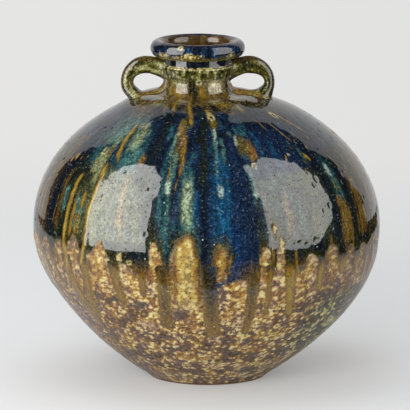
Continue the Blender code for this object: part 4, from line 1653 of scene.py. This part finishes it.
@dataclass
class Lip:
    """The fat lip, rolled over outwards and joined on the neck."""

    roll_width: float = 0.0053
    roll_height: float = 0.0059
    ring_radius: float = 0.0281
    roll_start: float = -122.0
    roll_end: float = 203.0
    top: float = 0.2400
    mouth_bare: float = 0.14
    crater: Crater = Crater(-22.0, 236.4, 1.5)
    patches: tuple[Triple, ...] = (
        (-12, 18, 0.95), (46, 7, 0.8), (-46, 9, 0.6), (105, 20, 0.7), (-150, 30, 0.7),
    )
    columns: int = 320
    rows: int = 64
    piece: bpy.types.Object | None = None

    def build(self) -> None:
        """Makes the roll and paints its navy glaze."""
        azimuth = wheel(self.columns)
        angles = np.radians(np.linspace(self.roll_start, self.roll_end, 60))
        across = self.ring_radius + self.roll_width * np.cos(angles)
        up = self.top - self.roll_height + self.roll_height * np.sin(angles)
        foot = (FORM.groove_radius, FORM.lip_seat)
        root = (FORM.groove_radius - FORM.neck_wall_at_lip, FORM.lip_seat)
        line = even(np.concatenate([[foot], np.column_stack([across, up]), [root]]), self.rows)
        place = turned(line, self.columns) / MM
        arc = run_lengths(line) / MM
        dents = 0.12 + 0.09 * NOISE.smooth(place, 9.0) + 0.035 * FINE_NOISE.smooth(place, 3.4)
        sunk = np.clip(dents, 0.0, None) * band(arc, (0.0, 1.5), (arc[-1] - 1.5, arc[-1]))[:, None]
        points = turned(line, self.columns, sunk * MM)
        self.piece = loft("lip", [*points], closed=True)
        carry(self.piece, [self._paint(points, azimuth + 0 * sunk)])

    def _paint(self, points: Array, azimuth: Array) -> GlazeFields:
        """Navy over teal, milky on top, with ochre patches and the mouth's amber inside.

        Args:
            points: The roll's points in metres.
            azimuth: Degrees round the pot.

        Returns:
            The fields of the roll.
        """
        place, ring = points / MM, self.ring_radius / MM
        height = place[..., 2]
        radius = np.hypot(place[..., 0] - FORM.neck_lean / MM, place[..., 1])
        cloud, fine = NOISE.layered(place, 7.0, 3), FINE_NOISE.smooth(place, 1.5)
        wash = ramp(0.18 + 0.55 * cloud + 0.25 * fine, LIP_BLUES)
        speckled = ramp(0.5 + 0.7 * fine + 0.3 * cloud, LIP_PATCHES)
        low = 1 - smoothstep(230.0, 234.5, height)
        for middle, spread, cover in self.patches:
            patch = bell(turn_between(azimuth, middle), 0.0, spread) * low
            wash = blend(wash, speckled, cover * smoothstep(0.3, 0.7, patch + 0.35 * cloud + 0.25 * fine))
        wash = lay(wash, OLIVE, 0.7 * (1 - smoothstep(228.6, 230.4, height)))
        mouth = 1 - smoothstep(ring - 4.0, ring - 2.2, radius + 0.8 * fine)
        wash = blend(wash, inside_wash(points), mouth)
        wash = lay(wash, MAUVE, 0.3 * smoothstep(236.6, 239.0, height) * (1 - mouth))
        distance = self.crater.distance(azimuth, height, ring + 4, 1.6)
        wash = lay(wash, CREAM, 0.9 * bell(distance, 1.0, 0.42) * (radius > ring))
        return plain_fields(points, wash, self.mouth_bare * mouth)

    def dress(self) -> None:
        """Gives the lip its navy glaze."""
        finish = GlazeFinish("navy_glaze", flow_scale=1.0, contrast=0.5, fleck_cover=0.4, roughness=0.08)
        self.piece.data.materials.append(finish.make())


class Side(Enum):
    """Which side of the neck a handle is on, along X."""

    LEFT = -1
    RIGHT = 1


@dataclass
class Lug:
    """One coil handle, pressed on under the groove and smeared down on the shoulder."""

    side: Side
    coil: float
    root: float
    tail: float
    climb: float
    toe: Tint
    reach: float = 0.0543
    loop_out: float = 0.0097
    root_drop: float = 0.0007
    sink: float = 0.0058
    width: float = 0.0112
    root_width: float = 0.0140
    root_sag: float = 0.0034
    crown_thickness: float = 0.0126
    landing_thickness: float = 0.0108
    landing_width: float = 0.0190
    tail_proud: float = 0.0020
    tail_end_thickness: float = 0.0050
    climb_rise: float = 0.0115
    climb_thickness: float = 0.0062
    luting: float = 0.0003
    loop_start: float = 104.0
    loop_end: float = -52.0
    loop_points: int = 22
    end_points: int = 4
    stations: int = 150
    sides: int = 72
    dent: float = 0.00014
    burial: float = 0.0004
    flare: float = 0.0011
    flare_reach: float = 0.0026
    least_half: float = 0.002
    piece: bpy.types.Object | None = None

    def path(self) -> Array:
        """The coil's line and size.

        Returns:
            Rows of (out from the neck's axis, height, half thickness, half width).
        """
        middle_out = FORM.collar_radius + self.loop_out
        top = FORM.ledge - self.root_drop
        bottom = float(FORM.shoulder_height(middle_out)) - self.sink
        angles = np.radians(np.linspace(self.loop_start, self.loop_end, self.loop_points))
        spread = smoothstep(0.0, 1.0, angles / math.radians(self.loop_end))
        crown = (self.crown_thickness - self.coil) * np.sin(angles) ** 2
        landing = (self.landing_thickness - self.coil) * spread
        thick = self.coil + np.where(angles > 0, crown, landing)
        wide = self.width + np.where(angles > 0, 0.0, (self.landing_width - self.width) * spread)
        out = middle_out + (self.reach - self.coil / 2 - middle_out) * np.cos(angles)
        height = (top + bottom) / 2 + (top - bottom) / 2 * np.sin(angles)
        loop = np.column_stack([out, height, thick / 2, wide / 2])
        tail = self._tail(loop[-1])
        return self._smooth(np.concatenate([self._root(loop[0]), loop, tail, self._climb(tail[-1])]))

    def _root(self, crown: Array) -> Array:
        """The thick end of the coil, which sags down the neck's side."""
        share = np.arange(self.end_points) / self.end_points
        out = FORM.throat_radius + self.luting + (crown[0] - FORM.throat_radius) * share
        height = crown[1] - self.root_sag * (1 - share)
        half = self.root / 2 + (crown[2] - self.root / 2) * smoothstep(0.0, 1.0, share)
        width = self.root_width / 2 + (crown[3] - self.root_width / 2) * share
        return np.column_stack([out, height, half, width])

    def _tail(self, landing: Array) -> Array:
        """The smeared end, which runs back along the shoulder and thins out."""
        share = np.arange(1, self.end_points + 1) / self.end_points
        out = landing[0] - (self.tail + self.sink) * share
        half = landing[2] + (self.tail_end_thickness / 2 - landing[2]) * share
        surface = FORM.shoulder_height(out + 2 * self.luting)
        sunk = surface + self.tail_proud * (1 - share) - half - 2 * self.luting * share
        height = landing[1] + (sunk - landing[1]) * smoothstep(0.0, 1.0, np.minimum(1.0, 1.6 * share))
        return np.column_stack([out, height, half, landing[3] * (1 - 0.45 * share)])

    def _climb(self, tail: Array) -> Array:
        """The smear's last part, which runs up the neck's side and rounds the loop's inner end."""
        turn = math.pi / 2 * np.arange(1, self.end_points + 1) / self.end_points
        half = self.climb_thickness / 2
        out = tail[0] + (FORM.throat_radius + self.climb - half - tail[0]) * np.sin(turn)
        height = tail[1] + self.climb_rise * (1 - np.cos(turn))
        return np.column_stack([out, height, half + 0 * turn, tail[3] + 0 * turn])

    def _smooth(self, line: Array) -> Array:
        """The same line through more stations, by a curve through every point."""
        count = len(line)
        place = np.linspace(0, count - 1, self.stations)
        index = np.clip(place.astype(int), 0, count - 2)
        t = (place - index)[:, None]
        before, first = line[np.maximum(index - 1, 0)], line[index]
        second, after = line[index + 1], line[np.minimum(index + 2, count - 1)]
        square = (2 * before - 5 * first + 4 * second - after) * t**2
        cube = (3 * first - before - 3 * second + after) * t**3
        return 0.5 * (2 * first + (second - before) * t + square + cube)

    def build(self) -> None:
        """Sweeps the coil, flares it where it was luted on, and paints it."""
        line, mirror = self.path(), np.array([self.side.value, 1.0, 1.0])
        turn = 2 * math.pi * np.arange(self.sides) / self.sides
        raised = outward(line[:, :2])[:, None] * (line[:, 2:3] * np.cos(turn))[..., None]
        out, height = np.moveaxis(line[:, None, :2] + raised, -1, 0)
        coil = np.stack([out, line[:, 3:4] * np.sin(turn), height], axis=-1)
        place = coil * mirror / MM
        dents = 0.10 * NOISE.smooth(place + 50 * self.side.value, 6.0) + 0.05 * FINE_NOISE.smooth(place, 2.6)
        shrink = np.clip(self.dent + dents * MM, 0.0, None) / self._half(line)
        coil = self._lute(self._swollen(coil, line, 1 - shrink), line)
        points = FORM.stand(coil * mirror)
        order = slice(None) if self.side is Side.RIGHT else slice(None, None, -1)
        rows = points[:, order]
        start, end = (row.mean(axis=0)[None] for row in (rows[0], rows[-1]))
        self.piece = loft(f"{self.side.name.lower()}_handle", [start, *rows, end], closed=False)
        fields = self._paint(points, turn, line).taken((slice(None), order))
        carry(self.piece, [inside_fields(start), fields, inside_fields(end)])

    def _half(self, line: Array) -> Array:
        """The coil's half thickness at each station, and never next to nothing."""
        return np.maximum(line[:, 2:3], self.least_half)

    def _swollen(self, coil: Array, line: Array, size: Array) -> Array:
        """The coil's points moved off or toward its line, to so many times as far."""
        middle = np.stack([line[:, 0], 0 * line[:, 0], line[:, 1]], axis=-1)[:, None]
        return middle + (coil - middle) * size[..., None]

    def _over_skin(self, coil: Array) -> tuple[Array, Array]:
        """How far over the bare skin each point of the coil is, and which way the skin faces there."""
        skin = even(FORM.skin_line(), 260)
        flat = np.stack([np.hypot(coil[..., 0], coil[..., 1]), coil[..., 2]], axis=-1)
        nearest = np.argmin(((flat[..., None, :] - skin) ** 2).sum(axis=-1), axis=-1)
        facing = outward(skin)[nearest]
        return np.sum((flat - skin[nearest]) * facing, axis=-1), facing

    def _lute(self, coil: Array, line: Array) -> Array:
        """Fits the coil to the neck and the shoulder.

        Args:
            coil: Points as (out from the neck's axis, deep, height).
            line: The coil's line, from which it flares.

        Returns:
            The points again, flared near the skin and trimmed just under it.
        """
        gap, _ = self._over_skin(coil)
        close = np.clip(1 - gap / self.flare_reach, 0.0, 1.0) * (gap > -self.flare_reach)
        coil = self._swollen(coil, line, 1 + self.flare * close**2 / self._half(line))
        gap, facing = self._over_skin(coil)
        lift = np.where(gap < -self.burial, -self.burial - gap, 0.0)
        radius = np.hypot(coil[..., 0], coil[..., 1])
        spread = 1 + lift * facing[..., 0] / np.maximum(radius, 1e-6)
        lifted = coil[..., 2] + lift * facing[..., 1]
        return np.stack([coil[..., 0] * spread, coil[..., 1] * spread, lifted], axis=-1)

    def _paint(self, points: Array, turn: Array, line: Array) -> GlazeFields:
        """Olive green that breaks pale along the coil's ridges, partly the glaze's own break and partly
        painted highlight, with black specks.

        Args:
            points: The coil's points in metres.
            turn: The angle of each point round the coil.
            line: The coil's line.

        Returns:
            The fields of the coil.
        """
        along = run_lengths(line[:, :2])[:, None] / MM + 0 * turn
        front, inward = np.abs(np.sin(turn)), np.cos(turn)
        swept = np.stack([4.5 * inward + 0 * along, 4.5 * np.sin(turn) + 0 * along, 0.3 * along], axis=-1)
        streak = NOISE.smooth(swept + 20 * self.side.value, 2.6)
        fine = FINE_NOISE.layered(points / MM, 1.5, 2)
        # Paler along the coil's front and inner ridges: partly glaze breaking pale, partly painted
        # highlight.
        ridge_and_highlight = bell(front, 0.93, 0.16) + 0.5 * bell(inward, 0.75, 0.2)
        value = 0.15 - 0.07 * self.side.value + 0.44 * streak + 0.26 * fine + 0.24 * ridge_and_highlight
        toe = smoothstep(0.70, 0.84, np.arange(len(line)) / len(line))[:, None]
        wash = lay(ramp(value, LUG_GREENS), self.toe, 0.7 * toe + 0 * fine)
        wash = lay(wash, UMBER, 0.4 * smoothstep(-0.3, -0.9, inward) + 0 * fine)
        fields = plain_fields(points, wash)
        fields.place = swept
        return fields

    def dress(self, finish: bpy.types.Material) -> None:
        """Gives the handle its green glaze."""
        self.piece.data.materials.append(finish)


@dataclass(frozen=True)
class SoftBox:
    """A soft box, with its outline as (across, up) in metres on its own face."""

    name: str
    place: Triple
    light: float
    outline: tuple[Pair, ...]


SOFT_BOXES = (
    SoftBox(
        "left_soft_box",
        (-0.614, -0.326, 0.40),
        6.4,
        (
            (-0.24, -0.47), (0.38, -0.47), (0.35, -0.15), (0.31, 0.12), (0.22, 0.42), (0.12, 0.56),
            (-0.06, 0.68), (-0.22, 0.60), (-0.30, 0.50), (-0.24, 0.0),
        ),
    ),
    SoftBox(
        "right_soft_box",
        (0.640, -0.262, 0.42),
        3.8,
        (
            (-0.49, -0.62), (-0.16, -0.50), (0.13, -0.36), (0.22, -0.25), (0.30, -0.05), (0.34, 0.2),
            (0.33, 0.46), (0.19, 0.68), (-0.03, 0.76), (-0.12, 0.68), (-0.28, 0.34), (-0.36, 0.12),
            (-0.46, -0.35),
        ),
    ),
)


@dataclass(frozen=True)
class Lamp:
    """A large soft lamp that lights the clay but doesn't show in its gloss."""

    name: str
    place: Triple
    size: float
    power: float


LAMPS = (
    Lamp("left_lamp", (-0.68, -0.44, 0.42), 1.0, 1.6),
    Lamp("right_lamp", (0.72, -0.36, 0.42), 1.0, 0.4),
    Lamp("front_lamp", (-0.6, -1.8, 0.5), 1.5, 33.0),
    Lamp("high_lamp", (-0.25, 0.10, 1.4), 1.2, 4.2),
)


@dataclass
class Studio:
    """The pale table, the two soft boxes, the backdrop, the lamps and the camera."""

    floor: tuple[Triple, ...] = ((-9, -9, 0), (9, -9, 0), (9, 14, 0), (-9, 14, 0))
    paint: tuple[float, float, float, float] = (0.83, 0.845, 0.865, 1.0)
    paper: Triple = (1.0, 0.995, 0.99)
    beyond: tuple[float, float, float, float] = (0.01, 0.012, 0.014, 1.0)
    table_front: float = -0.19
    table_left: float = -0.65
    table_right: float = 0.43
    front_blur: float = 0.004
    side_blur: float = 0.02
    floor_glow: float = 0.25
    card_white: tuple[float, float, float, float] = (1.0, 0.99, 0.97, 1.0)
    aim: Triple = (0.0, 0.0, 0.12)
    wall_distance: float = 1.0
    wall_light: float = 0.76
    wall_edge: tuple[Pair, ...] = (
        (-1.18, 0.0), (1.24, 0.0), (1.20, 0.30), (1.42, 0.60), (1.38, 0.85), (1.20, 1.0), (1.17, 1.37),
        (0.80, 1.32), (0.62, 1.42), (0.52, 1.66), (0.44, 1.84), (0.36, 2.0), (0.27, 2.0), (0.24, 0.75),
        (-0.22, 0.75), (-0.27, 1.95), (-0.43, 1.87), (-0.57, 1.77), (-0.68, 1.72), (-0.77, 1.55),
        (-0.88, 1.42), (-1.0, 1.42), (-1.08, 1.25), (-0.98, 1.0), (-0.88, 0.75), (-0.86, 0.55),
        (-0.96, 0.38), (-1.06, 0.25),
    )
    camera_place: Triple = (-0.00106, -2.4628, 0.55086)
    camera_aim: Triple = (-0.00106, 0.0, 0.12106)
    lens: float = 310.2
    sensor: float = 36.0

    def build(self) -> None:
        """Sets up the whole studio."""
        self._table()
        for box in SOFT_BOXES:
            card = self._glow_card(box.name, [(*corner, 0.0) for corner in box.outline], box.light)
            self._point(card, box.place, self.aim)
        wall = [(across, self.wall_distance, up) for across, up in self.wall_edge]
        self._glow_card("backdrop", wall, self.wall_light)
        for lamp in LAMPS:
            self._lamp(lamp)
        self._world()
        self._camera()

    def _table(self) -> None:
        """A wide pale floor. Gloss sees only the part of it that is the table."""
        table = new_object("table", new_mesh("table", list(self.floor), [(0, 1, 2, 3)]))
        material = bpy.data.materials.new("table_top")
        bench = NodeBench(material)
        position = bench.node("ShaderNodeNewGeometry").outputs["Position"]
        across, deep, _ = bench.fed("ShaderNodeSeparateXYZ", {0: position}).outputs
        seen = bench.node("ShaderNodeLightPath").outputs
        paint = bench.fed("ShaderNodeBsdfDiffuse", {"Color": self.paint})
        shift = bench.scaled(across, -0.05, 0.775)
        level = bench.fed("ShaderNodeCombineColor", {k: bench.times(shift, self.paper[k]) for k in range(3)})
        glow = bench.fed("ShaderNodeEmission", {"Color": level.outputs[0]})
        far = bench.scaled(bench.step(deep, 0.15, 1.1), 1 - self.floor_glow, self.floor_glow)
        floor = bench.shader_mix(bench.times(far, seen["Is Camera Ray"]), paint, glow)
        left = bench.step(across, self.table_left + self.side_blur, self.table_left - self.side_blur)
        right = bench.step(across, self.table_right - self.side_blur, self.table_right + self.side_blur)
        front = bench.step(deep, self.table_front + self.front_blur, self.table_front - self.front_blur)
        off = bench.maths("MAXIMUM", bench.maths("MAXIMUM", left, right), front)
        dark = bench.fed("ShaderNodeEmission", {"Color": self.beyond})
        edge = bench.shader_mix(bench.times(off, seen["Is Glossy Ray"]), floor, dark)
        bench.finish(edge.outputs[0])
        table.data.materials.append(material)

    def _glow_card(self, name: str, outline: list[Triple], light: float) -> bpy.types.Object:
        """A card that only shows in the gloss of the glaze.

        Args:
            name: The card's name.
            outline: Its corners, in order.
            light: How bright it is.

        Returns:
            The new card.
        """
        mesh = new_mesh(name, outline, [range(len(outline))])
        card = new_object(name, mesh)
        material = bpy.data.materials.new(name)
        bench = NodeBench(material)
        glow = bench.fed("ShaderNodeEmission", {"Color": self.card_white, "Strength": light})
        bench.finish(glow.outputs[0])
        mesh.materials.append(material)
        for ray in ("camera", "diffuse", "shadow", "transmission"):
            setattr(card, f"visible_{ray}", False)
        return card

    def _point(self, item: bpy.types.Object, place: Triple, aim: Triple) -> None:
        """Puts an item in its place, facing the aim."""
        item.location = place
        item.rotation_euler = (Vector(place) - Vector(aim)).to_track_quat("Z", "Y").to_euler()

    def _lamp(self, lamp: Lamp) -> None:
        """Hangs one lamp, pointed at the pot."""
        light = bpy.data.lights.new(lamp.name, "AREA")
        light.shape = "DISK"
        light.size = lamp.size
        light.energy = lamp.power
        item = new_object(lamp.name, light)
        self._point(item, lamp.place, self.aim)
        item.visible_glossy = False
        item.visible_camera = False

    def _world(self) -> None:
        """Even grey light for the clay, a dark room for the gloss and a pale one for the camera."""
        world = bpy.data.worlds.new("studio")
        bpy.context.scene.world = world
        bench = NodeBench(world, "ShaderNodeOutputWorld")
        seen = bench.node("ShaderNodeLightPath").outputs
        fill, room, paper = (
            bench.fed("ShaderNodeBackground", {"Color": (grey, grey, grey * blue, 1.0)})
            for grey, blue in ((0.55, 0.99), (0.012, 1.15), (0.78, 1.0))
        )
        lit = bench.shader_mix(seen["Is Glossy Ray"], fill, room)
        bench.finish(bench.shader_mix(seen["Is Camera Ray"], lit, paper).outputs[0])

    def _camera(self) -> None:
        """The camera in front of the vase, a little above it."""
        data = bpy.data.cameras.new("camera")
        data.lens = self.lens
        data.sensor_width = self.sensor
        data.clip_end = 50.0
        camera = new_object("camera", data)
        self._point(camera, self.camera_place, self.camera_aim)
        bpy.context.scene.camera = camera


def corners(box: tuple[Vector, Vector]) -> list[list[float]]:
    """A box's two corners as plain lists of numbers."""
    return [list(corner) for corner in box]


def seat_piece(piece: bpy.types.Object, node: str) -> None:
    """Puts a piece in place of its plain solid and reports it.

    Args:
        piece: The finished piece.
        node: The plain solid that it stands for.
    """
    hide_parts(node)
    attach(piece, "root")
    LOG.info("%s: %d faces in place of %s", piece.name, len(piece.data.polygons), node)


def main() -> None:
    """Builds the vase round its frame, and the studio round the vase."""
    logging.basicConfig(level=logging.INFO, format="%(name)s: %(message)s")
    for item in list(bpy.data.objects):
        bpy.data.objects.remove(item, do_unlink=True)
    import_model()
    bpy.context.scene.view_settings.view_transform = "Standard"

    skin = ThrownSkin()
    skin.build()
    skin.dress()
    seat_piece(skin.bowl, "lower_body")
    seat_piece(skin.shoulder, "upper_body")
    seat_piece(skin.neck, "neck_collar")
    lip = Lip()
    lip.build()
    lip.dress()
    seat_piece(lip.piece, "rolled_lip")
    green = GlazeFinish("green_glaze", contrast=0.6, fleck=SAGE, fleck_cover=0.5, roughness=0.13).make()
    left = Lug(Side.LEFT, coil=0.0094, root=0.0165, tail=0.004, climb=0.0066, toe=BRONZE)
    right = Lug(Side.RIGHT, coil=0.0078, root=0.0170, tail=0.013, climb=0.0036, toe=OCHRE)
    for lug in (left, right):
        lug.build()
        lug.dress(green)
        seat_piece(lug.piece, f"{lug.side.name.lower()}_lug")
    Studio().build()


if __name__ == "__main__":
    main()
